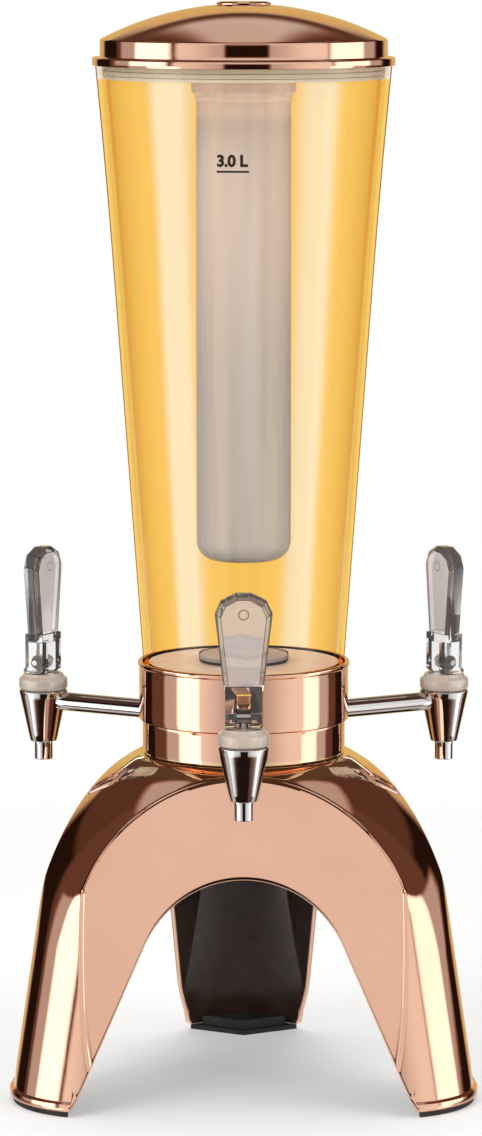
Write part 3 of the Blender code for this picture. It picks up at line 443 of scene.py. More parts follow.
@dataclass(frozen=True)
class FrostedTube(Finish):
    """Satin grey tube plastic that lets a little of the drink's colour through."""

    name: str = "satin_tube"
    slot: Slot = Slot.FROSTED_TUBE
    tint: tuple = rgba(0.65, 0.56, 0.49)
    pale: tuple = rgba(0.70, 0.61, 0.54)
    # Painted light: the colour of the glow painted on the tube's upper part.
    painted_top_light: tuple = rgba(1.0, 0.62, 0.38)
    opacity: float = 0.80

    def recipe(self, recipe: Recipe) -> None:
        """A satin body is mixed with a clear share; its upper part has painted light, a faint orange glow against the
        shade under the lid.
        """
        streak = recipe.noise(60.0, 3.0, (1, 1, 0.06))
        height = recipe.axis(recipe.place(), "Z")
        # Painted light: how strongly the tube glows, rising up its upper part and again at its neck.
        painted_light_share = 0.14 * height.smooth(0.38, 0.50) + 0.16 * height.smooth(0.536, 0.544)
        body = recipe.principled(
            Emission_Color=recipe.blend(painted_light_share, BLACK, self.painted_top_light),
            Emission_Strength=1.0,
            Base_Color=recipe.blend(streak.smooth(0.3, 0.7), self.tint, self.pale),
            Roughness=0.22 + 0.12 * streak,
            Coat_Weight=0.5,
            Normal=recipe.bump(recipe.noise(900.0), 0.01 * MM),
        )
        clear = recipe.node("ShaderNodeBsdfTransparent", None, {"Color": rgba(0.9, 0.86, 0.84)})
        share = self.opacity + 0.12 * streak.smooth(0.35, 0.8)
        recipe.finish(recipe.mixed(share, clear, body))


@dataclass(frozen=True)
class AmberDrink(Finish):
    """The drink's far side, where light leaves it: amber, with a pale band where the tank bends light in."""

    name: str = "amber_drink"
    slot: Slot = Slot.CLEAR_TANK
    amber: tuple = rgba(1.0, 0.60, 0.115)
    pale: tuple = rgba(0.985, 0.79, 0.47)
    deep: tuple = rgba(1.0, 0.54, 0.10)

    def recipe(self, recipe: Recipe) -> None:
        """Facing tells how far from the middle a ray crosses the drink; lamps pass through."""
        swirl = 0.05 * (recipe.noise(12.0, 2.0, (1, 1, 0.3)) - 0.5)
        facing = recipe.node("ShaderNodeLayerWeight", None, {"Blend": 0.5}, "Facing") + swirl
        path = recipe.tree.nodes.new("ShaderNodeLightPath")
        shadow = Sock(recipe, path.outputs["Is Shadow Ray"])
        soft = Sock(recipe, path.outputs["Is Diffuse Ray"])
        leaving = recipe.node("ShaderNodeNewGeometry", None, None, "Backfacing")
        clear = recipe.node("ShaderNodeBsdfTransparent", None, {"Color": WHITE})
        amber = recipe.node("ShaderNodeBsdfTransparent", None, {"Color": self.amber})
        pale = recipe.node("ShaderNodeBsdfTransparent", None, {"Color": self.pale})
        deep = recipe.node("ShaderNodeBsdfTransparent", None, {"Color": self.deep})
        band = facing.smooth(0.05, 0.13) * (1 - facing.smooth(0.22, 0.31))
        tinted = recipe.mixed(facing.smooth(0.35, 0.75), recipe.mixed(band, amber, pale), deep)
        tinted = recipe.mixed(facing.smooth(0.72, 0.84), tinted, clear)
        share = leaving * (1 - shadow) * (1 - soft)
        recipe.finish(recipe.mixed(share, clear, tinted))


@dataclass(frozen=True)
class ClearSkin(Finish):
    """The drink's surface against the ice tube and the tank's floor, which adds no colour."""

    name: str = "drink_skin"
    slot: Slot = Slot.CLEAR_TANK

    def recipe(self, recipe: Recipe) -> None:
        """A clear body with a trace of gloss."""
        wash = recipe.noise(40.0)
        tint = recipe.blend(wash, WHITE, rgba(0.98, 0.97, 0.96))
        gloss = recipe.principled(Base_Color=tint, Roughness=0.05)
        clear = recipe.node("ShaderNodeBsdfTransparent", None, {"Color": WHITE})
        recipe.finish(recipe.mixed(0.01 * wash, clear, gloss))


@dataclass(frozen=True)
class MouldedPlastic(Finish):
    """Plain moulded plastic with a fine skin."""

    name: str
    slot: Slot
    tint: tuple[float, float, float, float]
    shade: tuple[float, float, float, float]
    rough: float = 0.35

    def recipe(self, recipe: Recipe) -> None:
        """Noise varies the tint and the sheen."""
        mottle = recipe.noise(80.0, 3.0)
        shader = recipe.principled(
            Base_Color=recipe.blend(mottle.smooth(0.35, 0.7), self.tint, self.shade),
            Roughness=self.rough + 0.15 * mottle,
            Normal=recipe.bump(recipe.noise(1400.0), 0.01 * MM),
        )
        recipe.finish(shader)


@dataclass(frozen=True)
class PrintedInk(Finish):
    """Dark brown ink of the volume mark, a little thin in places."""

    name: str = "printed_ink"
    slot: Slot = Slot.CLEAR_TANK
    ink: tuple = rgba(0.012, 0.006, 0.003)
    thin: tuple = rgba(0.03, 0.014, 0.006)

    def recipe(self, recipe: Recipe) -> None:
        """Noise thins the ink."""
        shader = recipe.principled(
            Base_Color=recipe.blend(recipe.noise(700.0), self.ink, self.thin),
            Roughness=0.4 + 0.2 * recipe.noise(300.0),
        )
        recipe.finish(shader)


@dataclass(frozen=True)
class Finishes:
    """Every finish on the tower."""

    rose_gold: Finish = PlatedMetal(
        "rose_gold_plate", Slot.ROSE_GOLD, rgba(0.95, 0.57, 0.41), rgba(0.93, 0.54, 0.38)
    )
    chrome: Finish = PlatedMetal(
        "polished_chrome",
        Slot.CHROME,
        rgba(0.86, 0.83, 0.81),
        rgba(0.80, 0.77, 0.75),
        painted_hollow_glow=rgba(0.80, 0.77, 0.75),
    )
    steel: Finish = TurnedSteel()
    clear_wall: Finish = ClearWall("clear_wall", rgba(1.0, 0.79, 0.37), rgba(0.42, 0.22, 0.08))
    clear_inside: Finish = ClearWall("clear_wall_inside", WHITE, rgba(0.99, 0.97, 0.93))
    acrylic: Finish = ClearAcrylic("clear_acrylic")
    smoked: Finish = ClearAcrylic(
        "smoked_face", smoke=rgba(0.84, 0.73, 0.68), pale=rgba(0.90, 0.80, 0.75), clarity=0.5
    )
    # Painted shade: near-black faces on the handles' rounded edges, for the dark lines along the acrylic's facets.
    edge: Finish = MouldedPlastic(
        "acrylic_edge_painted_dark", Slot.CLEAR_HANDLE, rgba(0.012, 0.008, 0.006), rgba(0.03, 0.022, 0.018), 0.35
    )
    frosted: Finish = ClearAcrylic(
        "frosted_acrylic", smoke=rgba(0.74, 0.60, 0.50), pale=rgba(0.86, 0.74, 0.64), clarity=0.35
    )
    pale_floor: Finish = MouldedPlastic(
        "tank_floor", Slot.CLEAR_TANK, rgba(0.90, 0.60, 0.40), rgba(0.94, 0.68, 0.49), 0.3
    )
    # Dark brown plastic on the shell's inner skin: a less-plated inside, made dark to paint the shade in the hollow
    # legs.
    inside: Finish = MouldedPlastic(
        "bare_inside_painted_shade", Slot.ROSE_GOLD, rgba(0.035, 0.018, 0.012), rgba(0.05, 0.026, 0.017), 0.16
    )
    tube: Finish = FrostedTube()
    drink: Finish = AmberDrink()
    drink_skin: Finish = ClearSkin()
    liner: Finish = MouldedPlastic(
        "moulded_liner", Slot.LINER_PLASTIC, rgba(0.80, 0.72, 0.60), rgba(0.76, 0.68, 0.56)
    )
    silicone: Finish = MouldedPlastic(
        "soft_silicone", Slot.SILICONE, rgba(0.74, 0.68, 0.58), rgba(0.68, 0.62, 0.53), 0.5
    )
    rubber: Finish = MouldedPlastic(
        "matt_rubber", Slot.BLACK_RUBBER, rgba(0.02, 0.02, 0.02), rgba(0.035, 0.033, 0.03), 0.6
    )
    outlet: Finish = MouldedPlastic(
        "satin_outlet", Slot.STEEL, rgba(0.50, 0.36, 0.28), rgba(0.58, 0.43, 0.34), 0.3
    )
    ink: Finish = PrintedInk()


# Shape building


def grid_faces(rows: int, columns: int, close_rows: bool, close_columns: bool) -> Array:
    """The four-sided faces of a grid of points, joined to its own start where it closes.

    Args:
        rows: Points along the first parameter.
        columns: Points along the second.
        close_rows: Whether the last row joins the first.
        close_columns: Whether the last column joins the first.

    Returns:
        One row of four point numbers a face.
    """
    index = np.arange(rows * columns).reshape(rows, columns)
    if close_rows:
        index = np.vstack([index, index[:1]])
    if close_columns:
        index = np.hstack([index, index[:, :1]])
    corners = [index[:-1, :-1], index[:-1, 1:], index[1:, 1:], index[1:, :-1]]
    return np.stack(corners, axis=-1).reshape(-1, 4)


def solid(
    name: str, points: Array, faces: Array, finishes: list[Finish], worn: Array | int = 0
) -> bpy.types.Object:
    """Makes an object of points and faces, with its seams merged and its faces outwards.

    Args:
        name: The piece's name.
        points: World coordinates, one row a point.
        faces: Point numbers, one row a face.
        finishes: What it is dressed in.
        worn: Which of the finishes each face has.

    Returns:
        The object, at the origin.
    """
    mesh = bpy.data.meshes.new(name)
    mesh.from_pydata(points.reshape(-1, 3).tolist(), [], faces.tolist())
    for finish in finishes:
        mesh.materials.append(finish.material())
    mesh.polygons.foreach_set("material_index", np.broadcast_to(worn, len(faces)).astype(np.int32))
    shape = bmesh.new()
    shape.from_mesh(mesh)
    bmesh.ops.remove_doubles(shape, verts=shape.verts, dist=MERGE)
    bmesh.ops.recalc_face_normals(shape, faces=shape.faces)
    shape.to_mesh(mesh)
    shape.free()
    mesh.shade_smooth()
    mesh.set_sharp_from_angle(angle=SHARP)
    obj = bpy.data.objects.new(name, mesh)
    bpy.context.scene.collection.objects.link(obj)
    return obj


def surface(
    name: str, grid: Array, finishes: list[Finish], row_worn: Array | int = 0, close_rows: bool = True
) -> bpy.types.Object:
    """Makes an object of a grid of points that closes round its columns.

    Args:
        name: The piece's name.
        grid: Rows by columns by 3 coordinates.
        finishes: What it is dressed in.
        row_worn: Which of the finishes each row of faces has.
        close_rows: Whether the last row joins the first.

    Returns:
        The object, at the origin.
    """
    rows, columns = grid.shape[:2]
    faces = grid_faces(rows, columns, close_rows, True)
    worn = np.repeat(np.broadcast_to(row_worn, len(faces) // columns), columns)
    return solid(name, grid, faces, finishes, worn)


def rounded(
    corners: list[tuple[float, float]], radii: list[float], steps: int = 6, closed: bool = True
) -> Array:
    """An outline whose corners are arcs.

    Each arc touches both of its sides: it starts r / tan(half the corner's angle) from the corner, and its
    centre lies on the corner's middle line, r / sin(half the angle) away.

    Args:
        corners: The corners in order.
        radii: The radius at each corner, 0 for a sharp one.
        steps: Points on each arc.
        closed: Whether the last corner joins the first.

    Returns:
        The outline's points, one row each.
    """
    corner = np.array(corners, dtype=float)
    radius = np.array(radii, dtype=float)
    back = np.roll(corner, 1, axis=0) - corner
    ahead = np.roll(corner, -1, axis=0) - corner
    if not closed:
        back[0], ahead[-1] = -ahead[0], -back[-1]
        radius[0] = radius[-1] = 0
    back /= np.linalg.norm(back, axis=1, keepdims=True)
    ahead /= np.linalg.norm(ahead, axis=1, keepdims=True)
    half = np.arccos(np.clip((back * ahead).sum(axis=1), -1, 1)) / 2
    middle = back + ahead
    length = np.linalg.norm(middle, axis=1, keepdims=True)
    middle = np.where(length > 1e-9, middle / np.maximum(length, 1e-9), 0)
    centre = corner + middle * (radius / np.sin(half))[:, None]
    start = corner + back * (radius / np.tan(half))[:, None] - centre
    end = corner + ahead * (radius / np.tan(half))[:, None] - centre
    sweep = math.pi - 2 * half
    share = np.linspace(0, 1, steps)[None, :, None]
    angle = np.maximum(sweep, 1e-9)[:, None, None]
    arc = (np.sin((1 - share) * angle) * start[:, None] + np.sin(share * angle) * end[:, None]) / np.sin(angle)
    points = (centre[:, None] + arc).reshape(-1, 2)
    step = np.linalg.norm(np.diff(points, axis=0), axis=1)
    return points[np.concatenate([[True], step > MERGE])]


def divided(outline: Array, longest: float) -> Array:
    """Adds points along the straight stretches of an outline, so that none is longer than a length."""
    counts = np.maximum(np.ceil(np.linalg.norm(np.diff(outline, axis=0), axis=1) / longest).astype(int), 1)
    start = np.repeat(outline[:-1], counts, axis=0)
    step = np.repeat(np.diff(outline, axis=0) / counts[:, None], counts, axis=0)
    number = np.concatenate([np.arange(count) for count in counts])
    return np.vstack([start + step * number[:, None], outline[-1:]])


def section(corners: list, radii: list, longest: float, steps: int = 5) -> Array:
    """A closed outline with rounded corners and points along its straight sides.

    Args:
        corners: The corners in order.
        radii: The radius at each corner.
        longest: The longest step between two points.
        steps: Points on each arc.

    Returns:
        The outline's points, the first not repeated.
    """
    outline = rounded(corners, radii, steps)
    return divided(np.vstack([outline, outline[:1]]), longest)[:-1]


def turned(profile: Array, steps: int = 128, centre: tuple[float, float] = (0.0, 0.0)) -> Array:
    """A profile of (radius, height) points carried once round a vertical line.

    Args:
        profile: The profile's points.
        steps: Points round.
        centre: Where the line stands.

    Returns:
        A grid of points, closed round its columns.
    """
    angle = np.linspace(0, math.tau, steps, endpoint=False)
    radius, height = profile[:, :1], profile[:, 1:]
    x = centre[0] + radius * np.cos(angle)
    y = centre[1] + radius * np.sin(angle)
    return np.stack([x, y, np.broadcast_to(height, x.shape)], axis=-1)


def swung(points: Array, azimuth: float) -> Array:
    """Turns points about the tower's axis, so that +X points out along the azimuth."""
    cos, sin = math.cos(azimuth), math.sin(azimuth)
    x, y, z = points[..., 0], points[..., 1], points[..., 2]
    return np.stack([x * cos - y * sin, x * sin + y * cos, z], axis=-1)


def soft_min(first: Array, second: Array, reach: float) -> Array:
    """The smaller of two lengths, rounded where they differ by less than the reach."""
    near = np.maximum(reach - np.abs(first - second), 0) / reach
    return np.minimum(first, second) - near * near * reach / 4


def stand(obj: bpy.types.Object, body: str, finish: Finish, *nodes: str) -> bpy.types.Object:
    """Rides a piece on a body and hides the nodes it stands for."""
    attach(obj, body)
    if nodes:
        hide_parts(*nodes)
    log.info("%s: %d faces on %s", obj.name, len(obj.data.polygons), body)
    return obj


def dress(nodes: list[str], finish: Finish) -> None:
    """Gives carried-over nodes their finish."""
    for name in nodes:
        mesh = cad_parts[name].data
        mesh.materials.clear()
        mesh.materials.append(finish.material())
        log.info("%s: carried over in %s", name, finish.name)


# The tower


@dataclass
class BaseShell:
    """The plated shell: a dome run together with three leaning legs and three flat arched panels."""

    finishes: Finishes
    wall: float = 3.0 * MM
    bottom: float = 3.0 * MM
    leg_radius: float = 52.0 * MM
    leg_centre: float = 88.477 * MM
    leg_lean: float = 0.169
    panel_distance: float = 97.2 * MM
    panel_lean: float = 0.1667
    dome_radius: float = 125.4 * MM
    dome_centre: float = 76.707 * MM
    dome_top: float = 187.2 * MM
    skirt_lean: float = math.radians(15)
    arch_radius: float = 59.0 * MM
    arch_centre: float = 69.2 * MM
    arch_half_width: float = 95.0 * MM
    neck_radius: float = 16.3 * MM
    lip: float = 2.0 * MM
    lip_top: float = 8.0 * MM
    edge_round: float = 2.0 * MM
    groove_depth: float = 0.7 * MM
    groove_width: float = 0.8 * MM
    panel_round: float = 0.9 * MM
    dome_round: float = 1.6 * MM
    panel_steps: int = 40
    leg_steps: int = 34
    dome_rows: int = 26
    side_rows: int = 64

    def leg_at(self, z: Array) -> Array:
        """How far a leg's centre stands from the axis at a height."""
        return self.leg_centre - self.leg_lean * z

    def panel_at(self, z: Array, inset: float) -> Array:
        """How far the flat side stands from the axis at a height: the panel, or the legs' common tangent."""
        tangent = self.leg_at(z) * math.cos(SECTOR) + self.leg_radius
        return np.minimum(self.panel_distance - self.panel_lean * z, tangent) - inset

    def crease_at(self, z: Array, inset: float) -> Array:
        """The azimuth from the panel's middle to where the panel meets the leg's round."""
        leg, flat = self.leg_at(z), self.panel_at(z, inset)
        chord = (self.leg_radius - inset) ** 2 - (flat - leg * math.cos(SECTOR)) ** 2
        return np.arctan2(leg * math.sin(SECTOR) + np.sqrt(np.maximum(chord, 0)), flat)

    def dome_at(self, z: Array, inset: float) -> Array:
        """The dome's radius at a height: a sphere that runs on straight below its skirt."""
        radius = self.dome_radius - inset
        above = np.maximum(z - self.dome_centre, radius * math.sin(self.skirt_lean))
        reach = np.sqrt(np.maximum(radius**2 - above**2, 0))
        below = self.dome_centre + radius * math.sin(self.skirt_lean) - z
        return reach + np.maximum(below, 0) * math.tan(self.skirt_lean)

    def side_at(self, turn: Array, z: Array, inset: float) -> Array:
        """The side's radius at an azimuth from the panel's middle: the leg's circle, cut by the flat side."""
        leg, radius = self.leg_at(z), self.leg_radius - inset
        off = SECTOR - turn
        circle = leg * np.cos(off) + np.sqrt(np.maximum(radius**2 - (leg * np.sin(off)) ** 2, 0))
        tangent = leg * math.cos(SECTOR) + radius
        touch = np.arctan2(leg * math.sin(SECTOR), tangent)
        hull = np.where(turn < touch, tangent / np.cos(turn), circle)
        panel = (self.panel_distance - self.panel_lean * z - inset) / np.cos(turn)
        return soft_min(hull, panel, self.panel_round)

    def arch_at(self, z: Array) -> Array:
        """The arch's half width at a height: a round head, then sides that leave it as tangents."""
        slope = math.atan2(self.arch_centre, self.arch_half_width)
        away = math.hypot(self.arch_half_width, self.arch_centre)
        tangent = math.acos(self.arch_radius / away) - slope
        rise = z - self.arch_centre
        head = np.sqrt(np.maximum(self.arch_radius**2 - rise**2, 0))
        straight = self.arch_half_width - z * math.tan(tangent)
        return np.where(rise > self.arch_radius * math.sin(tangent), head, straight)

    def turn_at(self, column: Array, z: Array, inset: float) -> Array:
        """The azimuth of a column: 0 at the panel's middle, 1 on the crease and 2 at the leg's middle."""
        crease = self.crease_at(np.minimum(z, self.crease_top(inset)), inset)
        return np.where(column <= 1, column * crease, crease + (column - 1) * (SECTOR - crease))

    def crease_top(self, inset: float) -> float:
        """The height where the crease runs into the dome, by halving."""
        low, high = 60 * MM, 180 * MM
        for _ in range(40):
            middle = (low + high) / 2
            z = np.array(middle)
            outside = self.panel_at(z, inset) / np.cos(self.crease_at(z, inset)) < self.dome_at(z, inset)
            low, high = (middle, high) if outside else (low, middle)
        return low

    def halved(self, column: Array, low: Array, high: Array, test: Any) -> Array:
        """The height on each column where a test turns from true, above, to false, below.

        Args:
            column: The columns; not used.
            low: A height on each where the test fails.
            high: A height on each where it holds.
            test: A function of the heights.

        Returns:
            The heights.
        """
        for _ in range(36):
            middle = (low + high) / 2
            holds = test(middle)
            high = np.where(holds, middle, high)
            low = np.where(holds, low, middle)
        return high

    def edges(self, column: Array, inset: float) -> tuple[Array, Array]:
        """The dome's lower edge and the side's lower edge on each column.

        Args:
            column: The columns.
            inset: How far the surface lies inside the outer one.

        Returns:
            The height of each edge.
        """

        def in_dome(z: Array) -> Array:
            """Whether the dome is the inner surface at a height."""
            return self.dome_at(z, inset) < self.side_at(self.turn_at(column, z, inset), z, inset)

        def in_wall(z: Array) -> Array:
            """Whether a height is outside the arch."""
            turn = self.turn_at(column, z, inset)
            radius = np.minimum(self.side_at(turn, z, inset), self.dome_at(z, inset))
            return radius * np.sin(turn) > self.arch_at(z)

        top = np.full(column.shape, self.dome_top - inset - 0.05 * MM)
        crease = self.halved(column, np.full(column.shape, 40 * MM), top, in_dome)
        crown = self.arch_centre + self.arch_radius
        blocked = in_wall(np.full(column.shape, self.bottom))
        edge = self.halved(column, np.full(column.shape, self.bottom), np.full(column.shape, crown), in_wall)
        return crease, np.where(blocked, self.bottom, edge)

    def skin(self, column: Array, inset: float) -> Array:
        """One side of the shell, from the neck down to its lower edge.

        Args:
            column: The columns.
            inset: How far the surface lies inside the outer one.

        Returns:
            A grid of points, rows from the neck to the edge.
        """
        crease, edge = self.edges(column, inset)
        top = self.dome_top - inset
        radius = self.dome_radius - inset
        crown = math.asin((top - self.dome_centre) / radius)
        share = 1 - (1 - np.linspace(0, 1, self.dome_rows)[:, None]) ** 1.5
        angle = crown + share * (np.arcsin((crease - self.dome_centre) / radius) - crown)
        dome_z = self.dome_centre + radius * np.sin(angle)
        along = np.linspace(0, 1, self.side_rows)[1:, None]
        along = along**1.35 * 0.5 + (1 - (1 - along) ** 1.9) * 0.5
        side_z = crease + (edge + self.edge_round - crease) * along
        z = np.vstack([dome_z, side_z])
        turn = self.turn_at(column, z, inset)
        reach = soft_min(self.side_at(turn, z, inset), self.dome_at(z, inset), self.dome_round)
        reach[0] = self.dome_at(z[0], inset)
        if not inset:
            reach = reach + self.lip_at(z) - self.groove_at(column, turn, z, crease)
        flat = np.array([self.neck_radius, self.neck_radius + 0.4 * MM, self.dome_at(np.array(top), inset) - 0.5 * MM])
        reach = np.vstack([np.broadcast_to(flat[:, None], (3, column.size)), reach])
        turn = np.vstack([np.broadcast_to(turn[:1], (3, column.size)), turn])
        z = np.vstack([np.full((3, column.size), top), z])
        return np.stack([reach * np.cos(turn), reach * np.sin(turn), z], axis=-1)

    def lip_at(self, z: Array) -> Array:
        """How far the foot's lip stands out at a height, with a rounded top."""
        rise = np.clip((self.lip_top - z) / (0.9 * MM), 0, 1)
        return self.lip * np.sqrt(1 - (1 - rise) ** 2)

    def groove_at(self, column: Array, turn: Array, z: Array, top: Array) -> Array:
        """The depth of the fine groove along a panel's edge: a bell of the distance from that edge.

        Args:
            column: The columns.
            turn: The azimuth of each point from the panel's middle.
            z: The height of each point.
            top: The height where the panel meets the dome on each column.

        Returns:
            The depth at each point.
        """
        crease = self.crease_at(np.minimum(z, self.crease_top(0)), 0)
        beside = (turn - crease) * self.panel_distance / np.cos(crease) / self.groove_width
        above = (z - top) / self.groove_width
        along_leg = np.exp(-(beside**2)) * (z < self.crease_top(0)) * np.clip((z - self.lip_top) / (6 * MM), 0, 1)
        along_dome = np.exp(-(above**2)) * (column <= 1)
        return self.groove_depth * np.maximum(along_leg, along_dome)

    def corner(self, column: Array, inset: float) -> Array:
        """The sharp lower edge that the rounding starts from."""
        _, edge = self.edges(column, inset)
        turn = self.turn_at(column, edge, inset)
        reach = np.minimum(self.side_at(turn, edge, inset), self.dome_at(edge, inset))
        if not inset:
            reach = reach + self.lip_at(edge)
        return np.stack([reach * np.cos(turn), reach * np.sin(turn), edge], axis=-1)

    def rim(self, outer: Array, inner: Array, column: Array) -> Array:
        """The rounded edge between the shell's two sides: each corner is a curve that leans on its sharp edge."""
        corner_out, corner_in = self.corner(column, 0), self.corner(column, self.wall)
        share = self.edge_round * 0.6 / self.wall
        flat_out = corner_out + (corner_in - corner_out) * share
        flat_in = corner_in + (corner_out - corner_in) * share
        t = np.linspace(0, 1, 6)[:, None, None]
        out = (1 - t) ** 2 * outer[-1] + 2 * t * (1 - t) * corner_out + t**2 * flat_out
        back = (1 - t) ** 2 * flat_in + 2 * t * (1 - t) * corner_in + t**2 * inner[-1]
        return np.vstack([out[1:], back[:-1]])

    def sector(self, column: Array) -> Array:
        """Half of one third of the shell, from a panel's middle to a leg's."""
        outer, inner = self.skin(column, 0), self.skin(column, self.wall)
        return np.vstack([outer, self.rim(outer, inner, column), inner[::-1]])

    def build(self) -> None:
        """Joins six half thirds, each a mirror of the last, into one closed shell."""
        near = np.linspace(0, 1, self.panel_steps)
        panel = 1 - (1 - near) ** 1.6
        leg = 1 + np.linspace(0, 1, self.leg_steps)[1:] ** 1.6
        half = self.sector(np.concatenate([panel, leg]))
        mirror = half[:, ::-1] * np.array([1, -1, 1])
        whole = np.hstack([mirror, half])
        grid = np.hstack([swung(whole, azimuth) for azimuth in TAP_AZIMUTHS])
        finish = self.finishes.rose_gold
        row = np.arange(len(grid))
        # The inner skin's rows wear the dark inside finish, painted shade for the hollow legs.
        inside = (row >= len(grid) - len(grid) // 2 + 3) & (row < len(grid) - 1)
        shell = surface("base_shell_skin", grid, [finish, self.finishes.inside], inside)
        stand(shell, "root", finish, "base_shell")
        dress(["foot_pad_1", "foot_pad_2", "foot_pad_3"], self.finishes.rubber)


def tank_radius(z: Array | float) -> Array | float:
    """The tank's outer radius at a height: a straight taper with a slight flare above."""
    along = (z - 234 * MM) / (334.2 * MM)
    flare = np.maximum(z - 450 * MM, 0) / (118.2 * MM)
    return 55.6 * MM + along * 24.4 * MM + 1.5 * MM * flare**2


@dataclass
class Collar:
    """The two plated rings that hold the tank, parted where the taps' pipes come out."""

    finishes: Finishes
    parting: float = 206.0 * MM
    bottom: float = 187.5 * MM
    top: float = 238.7 * MM
    lower_radius: float = 56.3 * MM
    upper_radius: float = 58.2 * MM
    wall: float = 3.8 * MM
    lip: float = 0.7 * MM
    lip_height: float = 2.8 * MM
    seat_top: float = 230.8 * MM
    seat_thickness: float = 3.0 * MM
    seat_hole: float = 30.0 * MM
    notch: float = 5.55 * MM

    def columns(self, radius: float) -> Array:
        """Azimuths that are even round the ring and crowd together at the notches."""
        even = np.linspace(0, math.tau, 180, endpoint=False)
        spread = np.arcsin(self.notch * np.cos(np.linspace(0, math.pi, 25)) / radius)
        edge = np.array([-1.02, 1.02]) * self.notch / radius
        near = np.concatenate([[azimuth + spread, azimuth + np.resize(edge, 25)] for azimuth in TAP_AZIMUTHS])
        turn = np.unique(np.round(np.concatenate([even, near.ravel() % math.tau]), 7))
        away = np.abs((turn[:, None] - np.array(TAP_AZIMUTHS) + math.pi) % math.tau - math.pi).min(axis=1)
        crowded = np.isin(np.round(turn, 7), np.round(near.ravel() % math.tau, 7))
        return turn[crowded | (away > 1.1 * self.notch / radius)]

    def ring(self, name: str, profile: Array, pull: Array, upwards: float, radius: float, node: str) -> None:
        """Carries a profile round the axis and draws its parted edge back to a half circle at each notch.

        Args:
            name: The piece's name.
            profile: The ring's section, as (radius, height) points.
            pull: How far each point follows the notch, from 0 to 1.
            upwards: 1 where the notch is cut upwards, -1 where it is cut down.
            radius: The radius that the notch is measured on.
            node: The node that the piece stands for.
        """
        turn = self.columns(radius)
        away = np.array([(turn - azimuth + math.pi) % math.tau - math.pi for azimuth in TAP_AZIMUTHS])
        across = radius * np.sin(away[np.abs(away).argmin(axis=0), np.arange(turn.size)])
        depth = np.sqrt(np.maximum(self.notch**2 - across**2, 0))
        depth = np.maximum(depth - GAP / 2, 0)
        x = profile[:, :1] * np.cos(turn)
        y = profile[:, :1] * np.sin(turn)
        z = profile[:, 1:] + upwards * pull[:, None] * depth
        finish = self.finishes.rose_gold
        made = surface(name, np.stack([x, y, z], axis=-1), [finish])
        stand(made, "root", finish, node)

    def build(self) -> None:
        """Builds both rings."""
        soft = 0.5 * MM
        edge = self.parting - GAP / 2
        inner = self.lower_radius - self.wall
        corners = [(self.lower_radius, self.bottom), (self.lower_radius, edge), (inner, edge), (inner, self.bottom)]
        profile = section(corners, [soft] * 4, 3 * MM)
        pull = np.clip((profile[:, 1] - edge + 10 * MM) / (8 * MM), 0, 1)
        self.ring("collar_lower_skin", profile, pull, -1, self.lower_radius, "collar_lower_ring")
        edge = self.parting + GAP / 2
        inner = self.upper_radius - self.wall
        socket = float(tank_radius(self.top)) + GAP
        brim = self.upper_radius + self.lip
        seat_bottom = self.seat_top - self.seat_thickness
        corners = [
            (inner, edge),
            (self.upper_radius, edge),
            (self.upper_radius, self.top - self.lip_height),
            (brim, self.top - self.lip_height + self.lip),
            (brim, self.top),
            (socket, self.top),
            (socket, self.seat_top),
            (self.seat_hole, self.seat_top),
            (self.seat_hole, seat_bottom),
            (inner, seat_bottom),
        ]
        radii = [soft, soft, 0.6 * MM, 0.3 * MM, 0.8 * MM, 0.5 * MM, 0, soft, soft, 0]
        profile = section(corners, radii, 3 * MM)
        pull = np.clip((edge + 10 * MM - profile[:, 1]) / (8 * MM), 0, 1)
        self.ring("collar_upper_skin", profile, pull, 1, self.upper_radius, "collar_upper_ring")
        dress(["manifold", "clamp_nut"], self.finishes.steel)
        dress(["outlet_bolt"], self.finishes.outlet)
        dress(["tank_gasket", "outlet_washer"], self.finishes.rubber)


